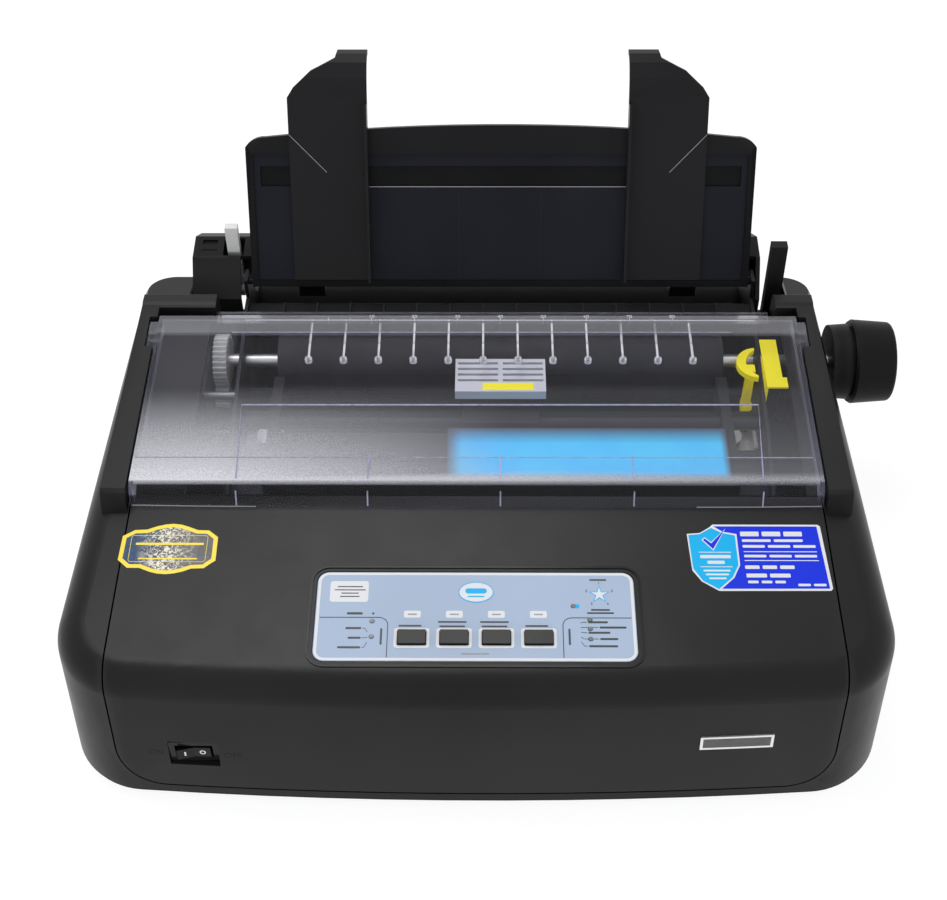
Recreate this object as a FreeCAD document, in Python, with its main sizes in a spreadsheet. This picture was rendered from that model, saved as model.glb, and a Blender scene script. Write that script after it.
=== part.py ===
import FreeCAD, Part
import math
import os
import re
import Sketcher
from FreeCAD import Placement, Rotation, Vector

# A desktop dot matrix printer with a hinged smoke cover and a sheet guide behind it.
# X runs to the right as the user sees it, Y to the back and Z up.
# Places are measured from the middle of the case's front edge on the table.
# frame_x and frame_y below move every piece so that the origin is the middle of the outer box.

SIZES = {
    # Case
    "case_half_front": 218, "case_half_rear": 202.5, "case_front_y": -5, "case_back_y": 305,
    "case_floor_z": 7, "case_tall": 140, "case_wall": 3, "front_bow": 9.1, "front_slope": 0.143,
    "front_corner_r": 42, "rear_corner_r": 19, "nose_radius": 17, "deck_front_y": 20,
    "deck_front_z": 89.4, "deck_tilt": 5, "deck_peak_y": 262, "shoulder_drop": 8,
    "case_corner_back": 2, "corner_end_in": 2, "deck_rise_share": 0.0875, "deck_slant_share": 1.004,
    "cut_over": 30, "skin_overlap": 1.5,
    # How far a cutter passes a face, how deep fused pieces lap, and a hair's breadth
    "cut_past": 1, "join_lap": 1, "hair": 0.01,
    # Vents in the back
    "vent_count": 14, "vent_x": -100, "vent_pitch": 9, "vent_wide": 4, "vent_z": 24, "vent_tall": 26,
    # Front cover, set into the case inside a narrow groove
    "front_cover_half": 185.5, "front_cover_back_y": 126, "front_cover_low_z": 12,
    "front_cover_corner_r": 24, "groove_gap": 0.9, "badge_x": 133, "badge_z": 48.5,
    "badge_long": 37.5, "badge_tall": 9, "badge_proud": 0.8,
    # Bay under the smoke cover and the paper bay behind it
    "bay_left_x": -158, "bay_right_x": 178.6, "tear_end_x": 172, "bay_front_y": 127,
    "rear_bay_left_x": -174.5, "rear_bay_right_x": 187, "rear_wall_z": 75,
    # Raised arms beside the smoke cover
    "arm_inner_x": 187, "arm_outer_x": 200.5, "arm_rear_x": 197, "arm_front_y": 112,
    "arm_back_y": 270, "arm_cross_y": 255.5, "arm_cross_left_x": 154, "arm_cross_right_x": 175,
    "arm_nose_z": 111, "arm_rear_z": 120, "arm_nose_run": 6, "arm_foot_z": 94,
    "arm_foot_run": 1, "arm_edge_drop": 1.5, "arm_edge_run": 2.5, "arm_step_run": 2, "arm_step": 1,
    "arm_back_run": 4, "arm_back_drop": 5,
    # Smoke cover
    "cover_half": 185.7, "cover_wall": 2, "cover_lip_y": 117.5, "cover_lip_z": 99.4,
    "cover_roll_y": 125, "cover_front_z": 111.6, "cover_back_y": 248.5, "cover_back_z": 119.6,
    "cover_side_deep": 8, "cover_side_run": 8, "cover_roll_run": 1.5, "cover_roll_drop": 0.8,
    "cover_brow_run": 3.5, "cover_brow_drop": 3, "hinge_y": 243.5, "hinge_z": 114.6,
    "tab_rise": 1, "tab_slope": 1.4,
    "tab_long": 18, "tab_wide": 5, "tab_radius": 3.6, "hinge_pin_r": 1.8, "hinge_pin_long": 3,
    "notch_gap": 0.8, "running_gap": 0.06, "rib_count": 12, "rib_pitch": 20, "rib_long": 31,
    "rib_wide": 1.2, "rib_deep": 2.4, "rib_back": 1, "ring_r": 2.2, "ring_hole_r": 1, "cover_range": 80,
    # Paper path
    "path_x": 13.5, "platen_y": 245, "platen_z": 87, "platen_r": 16, "platen_half": 131,
    "shaft_r": 4, "fit_gap": 0.05, "air_gap": 0.3, "bush_r": 7, "bush_flange_r": 9,
    "flange_thick": 1, "roller_r": 6, "roller_long": 34, "roller_shaft_r": 2.5,
    "roller_y": 241, "roller_gap": 0.5, "shaft_past": 1,
    # Side frames
    "frame_left_x": -140, "frame_right_x": 164, "frame_thick": 2, "frame_front_y": 134,
    "frame_top_z": 103, "frame_front_z": 92, "frame_step_y": 255, "frame_rear_y": 296,
    "frame_ear_z": 119, "frame_ear_half": 5.5, "frame_tail_y": 322, "frame_tail_low_z": 79,
    "frame_tail_top_z": 112, "frame_shelf_z": 106, "frame_nose_z": 78,
    # Platen knob
    "knob_start_x": 208.5, "knob_collar_x": 219, "knob_groove_x": 221, "knob_end_x": 245,
    "knob_collar_r": 22.5, "knob_groove_r": 20.5, "knob_r": 25, "knob_tip_r": 23.5,
    "knob_round": 2.5, "knob_hole_r": 10, "knob_shaft_end_x": 236, "knob_bore_slack": 0.5,
    "knob_edge": 1, "knob_edge_run": 1.5, "knob_taper": 0.8,
    # Paper feed gears and motor
    "gear_x": -156, "gear_wide": 8, "gear_teeth": 30, "pinion_teeth": 12, "gear_module": 1,
    "gear_centre_gap": 0.3, "motor_back": 15, "motor_plate_x": -161,
    "motor_plate_thick": 2, "motor_side": 42, "motor_r": 17.5, "motor_long": 22,
    "motor_shaft_r": 1.5, "motor_hole": 16, "spacer_r": 2.5, "stub_deep": 4,
    # Carriage and head
    "rod_y": 196, "rod_z": 84, "rod_r": 4, "carriage_half": 22, "carriage_front_y": 187,
    "carriage_back_y": 226, "carriage_low_z": 68, "carriage_floor": 9, "rod_boss": 8,
    "head_half": 23, "head_front_y": 205, "head_back": 4, "head_top_z": 99, "nose_half": 6,
    "nose_tip_y": 227,
    "nose_low_z": 81, "nose_top_z": 93, "fins_half": 26, "fins_front_y": 200.5,
    "fins_back_y": 227.5, "fins_base": 1.5, "fins_top_z": 105, "bar_count": 5, "bar_wide": 2.8,
    "fin_inset": 1.5, "front_bar_deep": 5.5, "rail_y": 218, "rail_thick": 4, "rail_low_z": 59,
    "belt_y": 206, "belt_low_z": 58,
    "belt_tall": 5, "belt_thick": 1.2, "pulley_r": 6.2, "pulley_left_x": -122,
    "pulley_right_x": 148, "pulley_tall": 7, "pulley_flange_r": 8.2, "pulley_flange": 0.8,
    "pulley_shaft_r": 1.5, "bracket_z": 53, "bracket_thick": 2, "bracket_half_y": 14,
    "bracket_reach": 34, "bracket_end": 10, "bracket_back": 11, "bracket_flap": 14, "stud_past": 2,
    "drive_motor_r": 16, "drive_motor_tall": 30, "way_low": 5, "belt_lug_half": 6, "belt_lug_deep": 3,
    # Ribbon cartridge
    "ribbon_left_x": -119, "ribbon_right_x": 146, "ribbon_front_y": 140, "ribbon_back_y": 180,
    "ribbon_low_z": 75, "ribbon_top_z": 92, "ribbon_arm_y": 226, "ribbon_arm_wide": 6,
    "ribbon_band_low_z": 80.5, "ribbon_band_tall": 12.7, "ribbon_band_thick": 0.3,
    "ribbon_band_gap": 0.6, "ribbon_round": 4, "ribbon_knob_x": -96, "ribbon_knob_y": 156,
    "ribbon_knob_r": 9, "ribbon_knob_tall": 7, "ribbon_grip_tall": 2, "ribbon_stem_r": 2.5,
    "ribbon_stem_deep": 5, "ribbon_way_deep": 6, "tray_thick": 2, "tray_front_y": 135,
    "tray_back_y": 183,
    # Paper chute and tear bar
    "chute_front_y": 263.5, "chute_back_y": 278, "chute_z": 103.5, "chute_thick": 2,
    "chute_lip_z": 97, "chute_edge": 1, "apron_bend_y": 300, "apron_bend_z": 84.5, "apron_end_y": 321,
    "apron_end_z": 80.5, "chute_rib_count": 14, "chute_rib_tall": 1.8, "chute_rib_wide": 1.2,
    "tear_front_y": 252.8,
    "tear_back_y": 260.5, "tear_z": 109.5, "tear_thick": 1.8, "tear_rail": 2.6,
    # Sheet guide and edge guides
    "guide_y": 283, "guide_z": 112.5, "guide_tilt": 24, "guide_half": 149, "guide_side": 84,
    "guide_thick": 4, "guide_corner_r": 12, "guide_corner_rise": 6, "guide_crown": 13,
    "guide_rim": 4, "guide_sunk": 1.2, "channel_low": 61, "channel_tall": 12, "channel_sunk": 1.2,
    "pivot_up": 3, "pivot_pin_r": 2, "pivot_pin_deep": 2,
    "edge_wide": 46, "edge_low": 5, "edge_long": 138, "edge_curl": 24, "edge_curl_back": 14,
    "edge_thick": 2, "edge_gap": 0.4, "edge_corner": 24, "edge_left_x": -109.5,
    "edge_right_x": 87, "edge_lug_wide": 16, "edge_wall": 7, "edge_wall_thick": 1.6,
    "edge_wall_drop": 4,
    # Rear cover
    "rear_left_x": -172, "rear_right_x": 170, "rear_block_x": -143, "rear_front_y": 279,
    "rear_front_z": 106, "rear_front_low_z": 95, "rear_open_drop": 5, "rear_top_y": 295,
    "rear_top_z": 125, "rear_crown_y": 313,
    "rear_crown_z": 127, "rear_back_y": 330, "rear_back_z": 116, "rear_low_z": 84,
    "rear_wall_thick": 2.5, "rear_seat_y": 301.5, "rear_window_y": 296.5, "slot_left_x": -154,
    "slot_right_x": -141.5, "slot_front_y": 297, "slot_back_y": 311.5, "dent_x": 5,
    "dent_long": 9, "dent_wide": 4, "dent_first": 3, "dent_second": 11, "dent_deep": 1.6,
    # Levers
    "lever_y": 304, "lever_z": 94, "lever_x": -151.5, "lever_wide": 7.5, "lever_thick": 5,
    "lever_top_z": 142, "lever_hub_r": 5, "lever_pin_r": 2.5, "feed_lever_x": 173.5,
    "feed_lever_wide": 9.5, "feed_lever_y": 284, "feed_lever_z": 84, "feed_lever_top_z": 142,
    "feed_lever_thick": 8, "feed_lever_lean": 2, "gap_lever_x": 158, "gap_lever_wide": 4.5,
    "gap_lever_y": 228,
    "gap_lever_z": 66, "gap_lever_top_z": 97, "gap_lever_thick": 6, "crescent_left_x": 151.5,
    "crescent_right_x": 163, "crescent_front_y": 217, "crescent_back_y": 242,
    "crescent_thick": 3.5, "crescent_body": 5.5, "gap_bridge_drop": 1.5,
    "scale_right_x": 175.6, "scale_front_y": 205, "scale_back_y": 245, "scale_z": 103.2,
    "scale_thick": 1.2, "scale_foot_x": 178, "scale_foot_y": 213, "scale_web_thick": 1.5,
    "scale_web_front_y": 208, "scale_web_back_y": 232, "scale_web_low_z": 90,
    # Tractors
    "tractor_y": 314, "tractor_z": 97, "tractor_shaft_r": 3, "tractor_wide": 16,
    "tractor_deep": 22, "tractor_front": 10, "tractor_tall": 20, "tractor_left_x": -103,
    "tractor_right_x": 127,
    "tractor_rail_r": 2, "tractor_rail_up": 5.5, "tractor_rail_back": 5, "tractor_pin_r": 1.6,
    "tractor_pin_tall": 1.6, "tractor_pin_pitch": 6,
    # Control panel
    "panel_half": 82, "panel_low": 3.5, "panel_tall": 54, "panel_sunk": 1.4, "panel_slack": 0.4,
    "panel_round": 6, "panel_thick": 1.2, "button_wide": 14.2, "button_deep": 8,
    "button_pitch": 21.4, "button_up": 17.3, "button_proud": 3.2, "button_gap": 0.4,
    "button_travel": 0.8, "button_stem": 6, "key_board_drop": 11, "key_board_thick": 1.6,
    "key_board_low": 2, "key_board_top": 6, "key_post_low": 5, "key_post_top": 10, "key_post_r": 2.5,
    "lamp_r": 1.1, "lamp_x": 50, "lamp_up": 36.6,
    "lamp_proud": 0.4,
    # Power switch
    "switch_x": -144.8, "switch_z": 36.6, "switch_wide": 26, "switch_tall": 17,
    "switch_slack": 0.25, "switch_sunk": 1.5, "switch_deep": 20, "switch_wall": 3,
    "rocker_pin_r": 1.2, "rocker_gap": 1.2, "rocker_proud": 2.4, "rocker_deep": 9, "rocker_room": 3,
    "rocker_dip": 0.4, "rocker_low": 0.6, "rocker_back": 1, "pin_cheek": 1,
    # Base
    "pan_inset": 1, "pan_low_z": 4, "foot_r": 9, "foot_x": 172, "foot_front_y": 40,
    "foot_back_y": 280, "boss_r": 5, "boss_tall": 22, "screw_r": 1.6, "screw_head_r": 3.4,
    "screw_head": 1.6, "boss_roof": 2, "boss_front_x": 208.5, "boss_front_y": 62,
    "boss_back_x": 197, "boss_back_y": 276,
    # Electronics
    "board_x": -120, "board_long": 210, "board_y": 30, "board_deep": 90, "board_z": 15,
    "board_thick": 1.6, "board_post_in": 6, "post_r": 3, "chip_tall": 4, "core_x": -196,
    "core_wide": 50,
    "core_y": 56, "core_deep": 62, "core_tall": 46, "winding_out": 5, "winding_in": 10,
    "winding_low": 9, "inlet_x": -165, "inlet_wall": 2.5, "inlet_back": 4,
    "inlet_z": 30, "inlet_wide": 28, "inlet_tall": 21, "inlet_deep": 22, "inlet_flange": 2,
    "inlet_slack": 0.3, "port_x": 96, "port_z": 29, "port_long": 66, "port_tall": 13,
    "port_deep": 14, "port_shell": 1.2, "port_back": 3, "tongue_in": 6, "tongue_side": 8,
    "tongue_half": 2, "blade_long": 8, "blade_out": 7, "blade_half": 1, "blade_half_tall": 2,
    "blade_low": 1, "blade_high": 3,
}

PANEL_LAMPS_SHARES = [(-0.64, 0.44), (-0.64, 0.27), (0.71, 0.46), (0.71, 0.36), (0.71, 0.25)]
BUTTON_SLOTS = (-1.5, -0.5, 0.5, 1.5)

# The frame's origin lies under the middle of the outer box.
FRAME_X = "(case_half_front - case_corner_back - knob_end_x) / 2"
REAR_MOST = ("(guide_y + (edge_curl_back * 1.14 - edge_gap - edge_thick) * cos(guide_tilt)"
             " + edge_long * sin(guide_tilt))")
FRAME_Y = "-(case_front_y + %s) / 2" % REAR_MOST

ALONG_X = Rotation(Vector(0, 1, 0), 90)
ALONG_Y = Rotation(Vector(1, 0, 0), -90)
UP = Rotation()

SIZE_NAME = re.compile(r"\b[a-z]+(?:_[a-z0-9]+)+\b")
TURN_OF_SIZE = re.compile(r"(sin|cos|tan)\(([a-z_]+)\)")
document = FreeCAD.newDocument("dot_matrix_printer")
PIECES = []


def write_sheet():
    """Puts every size in the spreadsheet under its own name."""
    sheet = document.addObject("Spreadsheet::Sheet", "Sizes")
    for row, (alias, value) in enumerate(SIZES.items(), start=1):
        sheet.set("A%d" % row, alias)
        sheet.set("B%d" % row, str(value))
        sheet.setAlias("B%d" % row, alias)
    document.recompute()


def bound(text):
    """The text as an expression whose size names point at the spreadsheet."""
    return SIZE_NAME.sub(lambda found: "Sizes." + found.group(), str(text))


def worth(text):
    """The number that a sum of size names comes to; its angles are in degrees."""
    def turned(found):
        return "(%.12f)" % getattr(math, found.group(1))(math.radians(SIZES[found.group(2)]))

    plain = TURN_OF_SIZE.sub(turned, str(text))
    plain = SIZE_NAME.sub(lambda found: "(%s)" % SIZES[found.group()], plain)
    return FreeCAD.Units.Quantity(plain).Value


def bind(item, **texts):
    """Binds each property of the item to its expression."""
    for name, text in texts.items():
        item.setExpression(name, bound(text))
    return item


def place(item, at=(0, 0, 0), turn=UP, tilt=None):
    """Puts the item at a place; a tilt about X follows its own expression."""
    item.Placement = Placement(Vector(), Rotation(Vector(1, 0, 0), 1) if tilt else turn)
    for letter, text in zip("xyz", at):
        item.setExpression("Placement.Base." + letter, bound(text))
    if tilt:
        item.setExpression("Placement.Rotation.Angle", bound(tilt))
    return item


def piece(item, label, at=(0, 0, 0), tilt=None):
    """Makes the item a finished sub-part of the printer."""
    x, y, z = at
    place(item, ("%s + %s" % (FRAME_X, x), "%s + %s" % (FRAME_Y, y), z), tilt=tilt)
    item.Label = label
    PIECES.append(item)
    return item


def block(size, corner, tilt=None):
    """A box by its length, width and height and its lowest corner."""
    item = document.addObject("Part::Box", "block")
    bind(item, Length=size[0], Width=size[1], Height=size[2])
    return place(item, corner, tilt=tilt)


def span(x, y, z):
    """A box between two sizes on each axis."""
    size = ["(%s) - (%s)" % (high, low) for low, high in (x, y, z)]
    return block(size, (x[0], y[0], z[0]))


def rod(radius, length, start, turn=UP, tilt=None):
    """A round bar from its start, along Z, along the turned axis or tilted about X."""
    item = document.addObject("Part::Cylinder", "rod")
    bind(item, Radius=radius, Height=length)
    return place(item, start, turn, tilt)


def joined(*items):
    """The items fused into one."""
    item = document.addObject("Part::MultiFuse", "joined")
    item.Shapes = list(items)
    return item


def grouped(*items):
    """The items kept as separate solids of one sub-part."""
    item = document.addObject("Part::Compound", "group")
    item.Links = list(items)
    return item


def cut(base, *tools):
    """The base with the tools taken away."""
    item = document.addObject("Part::Cut", "cut")
    item.Base = base
    item.Tool = tools[0] if len(tools) == 1 else joined(*tools)
    return item


def common(first, second):
    """What the two items share."""
    item = document.addObject("Part::Common", "common")
    item.Base = first
    item.Tool = second
    return item


def new_body(name):
    """An empty body for sketches and their features."""
    return document.addObject("PartDesign::Body", name)


def origin_plane(body, role):
    """The body's own origin plane with this role."""
    return next(item for item in body.Origin.OriginFeatures if item.Role == role)


def new_sketch(body, role, lift=0):
    """A sketch on one of the body's origin planes, lifted along its normal."""
    sketch = body.newObject("Sketcher::SketchObject", "outline")
    sketch.AttachmentSupport = (origin_plane(body, role), [""])
    sketch.MapMode = "FlatFace"
    if lift:
        sketch.setExpression("AttachmentOffset.Base.z", bound(lift))
    return sketch


def fix_point(sketch, edge, end, corner):
    """Holds one end of an edge at its place from the sketch's origin."""
    for kind, text in zip(("DistanceX", "DistanceY"), corner):
        first = worth(text)
        number = sketch.addConstraint(Sketcher.Constraint(kind, -1, 1, edge, end, first))
        sketch.setExpression("Constraints[%d]" % number, bound(text))


def add_point(sketch, corner):
    """A construction point held at its place."""
    number = sketch.addGeometry(Part.Point(Vector(worth(corner[0]), worth(corner[1]), 0)), True)
    fix_point(sketch, number, 1, corner)
    return number


def draw_outline(sketch, corners):
    """Draws a closed outline; a corner of three entries ends an arc that passes its third."""
    spots = [Vector(worth(c[0]), worth(c[1]), 0) for c in corners]
    count = len(corners)
    for index in range(count):
        after = (index + 1) % count
        if len(corners[after]) == 3:
            middle = Vector(worth(corners[after][2][0]), worth(corners[after][2][1]), 0)
            sketch.addGeometry(Part.Arc(spots[index], middle, spots[after]))
        else:
            sketch.addGeometry(Part.LineSegment(spots[index], spots[after]))
    for index in range(count):
        after = (index + 1) % count
        curved = len(corners[after]) == 3
        start, end = (1, 2)
        if curved:
            arc = sketch.Geometry[index]
            if arc.StartPoint.distanceToPoint(spots[index]) > arc.EndPoint.distanceToPoint(spots[index]):
                start, end = (2, 1)
        fix_point(sketch, index, start, corners[index][:2])
        fix_point(sketch, index, end, corners[after][:2])
        if curved:
            helper = add_point(sketch, corners[after][2])
            sketch.addConstraint(Sketcher.Constraint("PointOnObject", helper, 1, index))


def draw_ring(sketch, centre, radius):
    """Draws a full circle."""
    spot = Vector(worth(centre[0]), worth(centre[1]), 0)
    edge = sketch.addGeometry(Part.Circle(spot, Vector(0, 0, 1), worth(radius)))
    fix_point(sketch, edge, 3, centre)
    number = sketch.addConstraint(Sketcher.Constraint("Radius", edge, worth(radius)))
    sketch.setExpression("Constraints[%d]" % number, bound(radius))


def pad(body, role, corners, length, lift=0, middle=False, rings=()):
    """Pads an outline, with round holes in it, from a plane of the body."""
    sketch = new_sketch(body, role, lift)
    draw_outline(sketch, corners)
    for centre, radius in rings:
        draw_ring(sketch, centre, radius)
    feature = body.newObject("PartDesign::Pad", "pad")
    feature.Profile = sketch
    feature.Midplane = middle
    bind(feature, Length=length)
    document.recompute()
    return feature


def pocket(body, role, corners, length, lift=0, middle=False, reverse=False):
    """Cuts an outline out of the body and makes sure that it took something away."""
    before = body.Shape.Volume
    sketch = new_sketch(body, role, lift)
    draw_outline(sketch, corners)
    feature = body.newObject("PartDesign::Pocket", "pocket")
    feature.Profile = sketch
    feature.Midplane = middle
    feature.Reversed = reverse
    bind(feature, Length=length)
    document.recompute()
    if body.Shape.Volume >= before:
        raise ValueError("a pocket of %s cuts nothing" % body.Label)
    return feature


def edge_names(body, chosen):
    """The names of the body's edges that the test picks."""
    return ["Edge%d" % (n + 1) for n, edge in enumerate(body.Shape.Edges) if chosen(edge)]


def fillet(body, radius, chosen):
    """Rounds the picked edges of the body."""
    names = edge_names(body, chosen)
    feature = body.newObject("PartDesign::Fillet", "fillet")
    feature.Base = (body.Tip if body.Tip != feature else feature.BaseFeature, names)
    bind(feature, Radius=radius)
    document.recompute()
    return feature


def upright(edge):
    """Whether a straight edge rises more than it runs."""
    rise = edge.BoundBox
    return len(edge.Vertexes) == 2 and rise.ZLength > 3 * max(rise.XLength, rise.YLength)


# Case


def draw_case_plan(sketch, inset):
    """Draws the case from above: a bowed front, two round corners and straight sides."""
    front = "case_front_y + (%s)" % inset
    half_front = "case_half_front - (%s)" % inset
    half_rear = "case_half_rear - (%s)" % inset
    radius = "front_corner_r - (%s)" % inset
    side_y = front + " + front_bow"
    far_y = "case_back_y + case_tall"
    wide, corner, low = worth(half_front), worth(radius), worth(side_y)
    far_wide = wide - (worth("case_half_front - case_half_rear")) * 1.5

    def spot(sign, x, y):
        return Vector(sign * x, y, 0)

    bow_end = (wide - corner, low - worth("front_bow") * 0.4)
    corner_mid = (wide - corner * 0.32, low + corner * 0.22)
    side_end = (wide - SIZES["corner_end_in"], low + corner * 0.9)
    bow = sketch.addGeometry(Part.Arc(spot(-1, *bow_end), Vector(0, worth(front), 0), spot(1, *bow_end)))
    right_corner = sketch.addGeometry(Part.Arc(spot(1, *bow_end), spot(1, *corner_mid), spot(1, *side_end)))
    right_side = sketch.addGeometry(Part.LineSegment(spot(1, *side_end), spot(1, far_wide, worth(far_y))))
    back = sketch.addGeometry(
        Part.LineSegment(spot(1, far_wide, worth(far_y)), spot(-1, far_wide, worth(far_y))))
    left_side = sketch.addGeometry(Part.LineSegment(spot(-1, far_wide, worth(far_y)), spot(-1, *side_end)))
    left_corner = sketch.addGeometry(Part.Arc(spot(-1, *side_end), spot(-1, *corner_mid), spot(-1, *bow_end)))
    middle = add_point(sketch, ("0", front))
    sketch.addConstraint(Sketcher.Constraint("PointOnObject", middle, 1, bow))
    sketch.addConstraint(Sketcher.Constraint("PointOnObject", bow, 3, -2))
    joints = ((bow, 2, right_corner, 1), (right_corner, 2, right_side, 1),
              (left_side, 2, left_corner, 1), (left_corner, 2, bow, 1))
    for joint in joints:
        sketch.addConstraint(Sketcher.Constraint("Tangent", *joint))
    sketch.addConstraint(Sketcher.Constraint("Coincident", right_side, 2, back, 1))
    sketch.addConstraint(Sketcher.Constraint("Coincident", back, 2, left_side, 1))
    for sign, edge, far_end in (("", right_side, 2), ("-", left_side, 1)):
        for x, y in ((half_front, side_y), (half_rear, "case_back_y")):
            corner_point = add_point(sketch, ("%s(%s)" % (sign, x), y))
            sketch.addConstraint(Sketcher.Constraint("PointOnObject", corner_point, 1, edge))
        number = sketch.addConstraint(Sketcher.Constraint("DistanceY", -1, 1, edge, far_end, worth(far_y)))
        sketch.setExpression("Constraints[%d]" % number, bound(far_y))
    bow_corner = add_point(sketch, (half_front, side_y))
    sketch.addConstraint(Sketcher.Constraint("PointOnObject", bow_corner, 1, bow))
    for edge in (right_corner, left_corner):
        number = sketch.addConstraint(Sketcher.Constraint("Radius", edge, corner))
        sketch.setExpression("Constraints[%d]" % number, bound(radius))


def case_solid(name, inset):
    """The outer form of the case, or the same form drawn in by an inset."""
    body = new_body(name)
    back = "case_back_y - (%s)" % inset
    sketch = new_sketch(body, "XY_Plane", "case_floor_z")
    draw_case_plan(sketch, inset)
    base = body.newObject("PartDesign::Pad", "pad")
    base.Profile = sketch
    base.UseCustomVector = True
    base.Direction = Vector(0, SIZES["front_slope"], 1)
    bind(base, Length="case_tall")
    document.recompute()
    slot = "case_half_front * 3"
    pocket(body, "YZ_Plane", [
        (back, "case_floor_z - cut_over"),
        ("(%s) + case_tall * 2" % back, "case_floor_z - cut_over"),
        ("(%s) + case_tall * 2" % back, "case_tall * 2"),
        (back, "case_tall * 2"),
    ], slot, middle=True)
    fillet(body, "rear_corner_r - (%s)" % inset,
           lambda e: upright(e) and e.BoundBox.YMin > worth("deck_peak_y"))
    top_front, top_peak, top_back = [
        "deck_front_z - (%s) * deck_slant_share + (%s - deck_front_y) * deck_rise_share" % (inset, y)
        for y in ("case_front_y - cut_over", "deck_peak_y", "case_back_y + cut_over")]
    pocket(body, "YZ_Plane", [
        ("case_front_y - cut_over", top_front), ("case_back_y + cut_over", top_back),
        ("case_back_y + cut_over", "case_tall * 2"), ("case_front_y - cut_over", "case_tall * 2"),
    ], slot, middle=True)
    rim_low = worth("deck_front_z - cut_over")
    fillet(body, "nose_radius - (%s)" % inset, lambda e: e.BoundBox.ZMin > rim_low)
    shoulder = "shoulder_drop * (case_back_y + cut_over - deck_peak_y) / (case_back_y - deck_peak_y)"
    pocket(body, "YZ_Plane", [
        ("deck_peak_y", top_peak), ("case_back_y + cut_over", "(%s) - %s" % (top_peak, shoulder)),
        ("case_back_y + cut_over", "case_tall * 2"), ("deck_peak_y", "case_tall * 2"),
    ], slot, middle=True)
    return body


def cover_outline(grow):
    """The front view of the cover's opening, grown by a gap."""
    body = new_body("front_opening")
    half = "front_cover_half + (%s)" % grow
    low = "front_cover_low_z - (%s)" % grow
    pad(body, "XZ_Plane", [
        ("-(%s)" % half, low), (half, low), (half, "case_tall * 2"), ("-(%s)" % half, "case_tall * 2"),
    ], "front_cover_back_y + (%s) - case_front_y + cut_over" % grow,
        lift="-(front_cover_back_y + (%s))" % grow)
    fillet(body, "front_cover_corner_r + (%s)" % grow,
           lambda e: e.BoundBox.ZMax < worth("case_floor_z * 2") and e.BoundBox.YLength > worth("cut_over")
           and e.BoundBox.XLength < SIZES["cut_past"])
    return body


def arm(side, cross_x, name):
    """A raised arm beside the smoke cover, with its end turned in behind it."""
    sign = "-1 * " if side < 0 else ""
    body = new_body(name)
    plan = [
        ("arm_inner_x", "arm_front_y"), ("arm_outer_x", "arm_front_y"), ("arm_rear_x", "arm_back_y"),
        (cross_x, "arm_back_y"), (cross_x, "arm_cross_y"), ("arm_inner_x", "arm_cross_y"),
    ]
    plan = [(sign + x, y) for x, y in plan]
    pad(body, "XY_Plane", plan, "arm_rear_z * 2 - arm_foot_z", lift="arm_foot_z")
    top = [
        ("arm_front_y - cut_over", "arm_foot_z - cut_over"),
        ("arm_front_y + arm_foot_run", "arm_foot_z"),
        ("arm_front_y + arm_nose_run", "arm_nose_z - arm_edge_drop"),
        ("arm_front_y + arm_nose_run + arm_edge_run", "arm_nose_z"),
        ("arm_cross_y + arm_step_run", "arm_rear_z"),
        ("arm_cross_y + arm_step_run * 2", "arm_rear_z + arm_step"),
        ("arm_back_y - arm_back_run", "arm_rear_z + arm_step"),
        ("arm_back_y - arm_step", "arm_rear_z - arm_edge_drop"),
        ("arm_back_y", "arm_rear_z - arm_back_drop"),
        ("arm_back_y + cut_over", "arm_rear_z - arm_back_drop"),
        ("arm_back_y + cut_over", "arm_rear_z * 3"),
        ("arm_front_y - cut_over", "arm_rear_z * 3"),
    ]
    pocket(body, "YZ_Plane", top, "case_half_front * 3", middle=True)
    return body


def hinge_notch(side):
    """The space in an arm for the tab and pin of the smoke cover."""
    tab = span(("cover_half - cover_wall", "cover_half + tab_wide + notch_gap"),
               ("hinge_y - tab_long - notch_gap", "hinge_y + tab_radius + notch_gap"),
               ("hinge_z - tab_radius - notch_gap", "arm_rear_z + cut_over"))
    pin = rod("hinge_pin_r + running_gap", "tab_wide + notch_gap + hinge_pin_long + notch_gap",
              ("cover_half", "hinge_y", "hinge_z"), ALONG_X)
    both = joined(tab, pin)
    if side < 0:
        return mirrored(both)
    return both


def mirrored(item):
    """The item's mirror image across the middle of the case."""
    image = document.addObject("Part::Mirroring", "mirrored")
    image.Source = item
    image.Base = Vector()
    image.Normal = Vector(1, 0, 0)
    return image


def boss_places():
    """Where the four screw bosses stand, against the inner faces of the side walls."""
    return [(sign + x, y) for x, y in (("boss_front_x", "boss_front_y"), ("boss_back_x", "boss_back_y"))
            for sign in ("-", "")]


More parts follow.
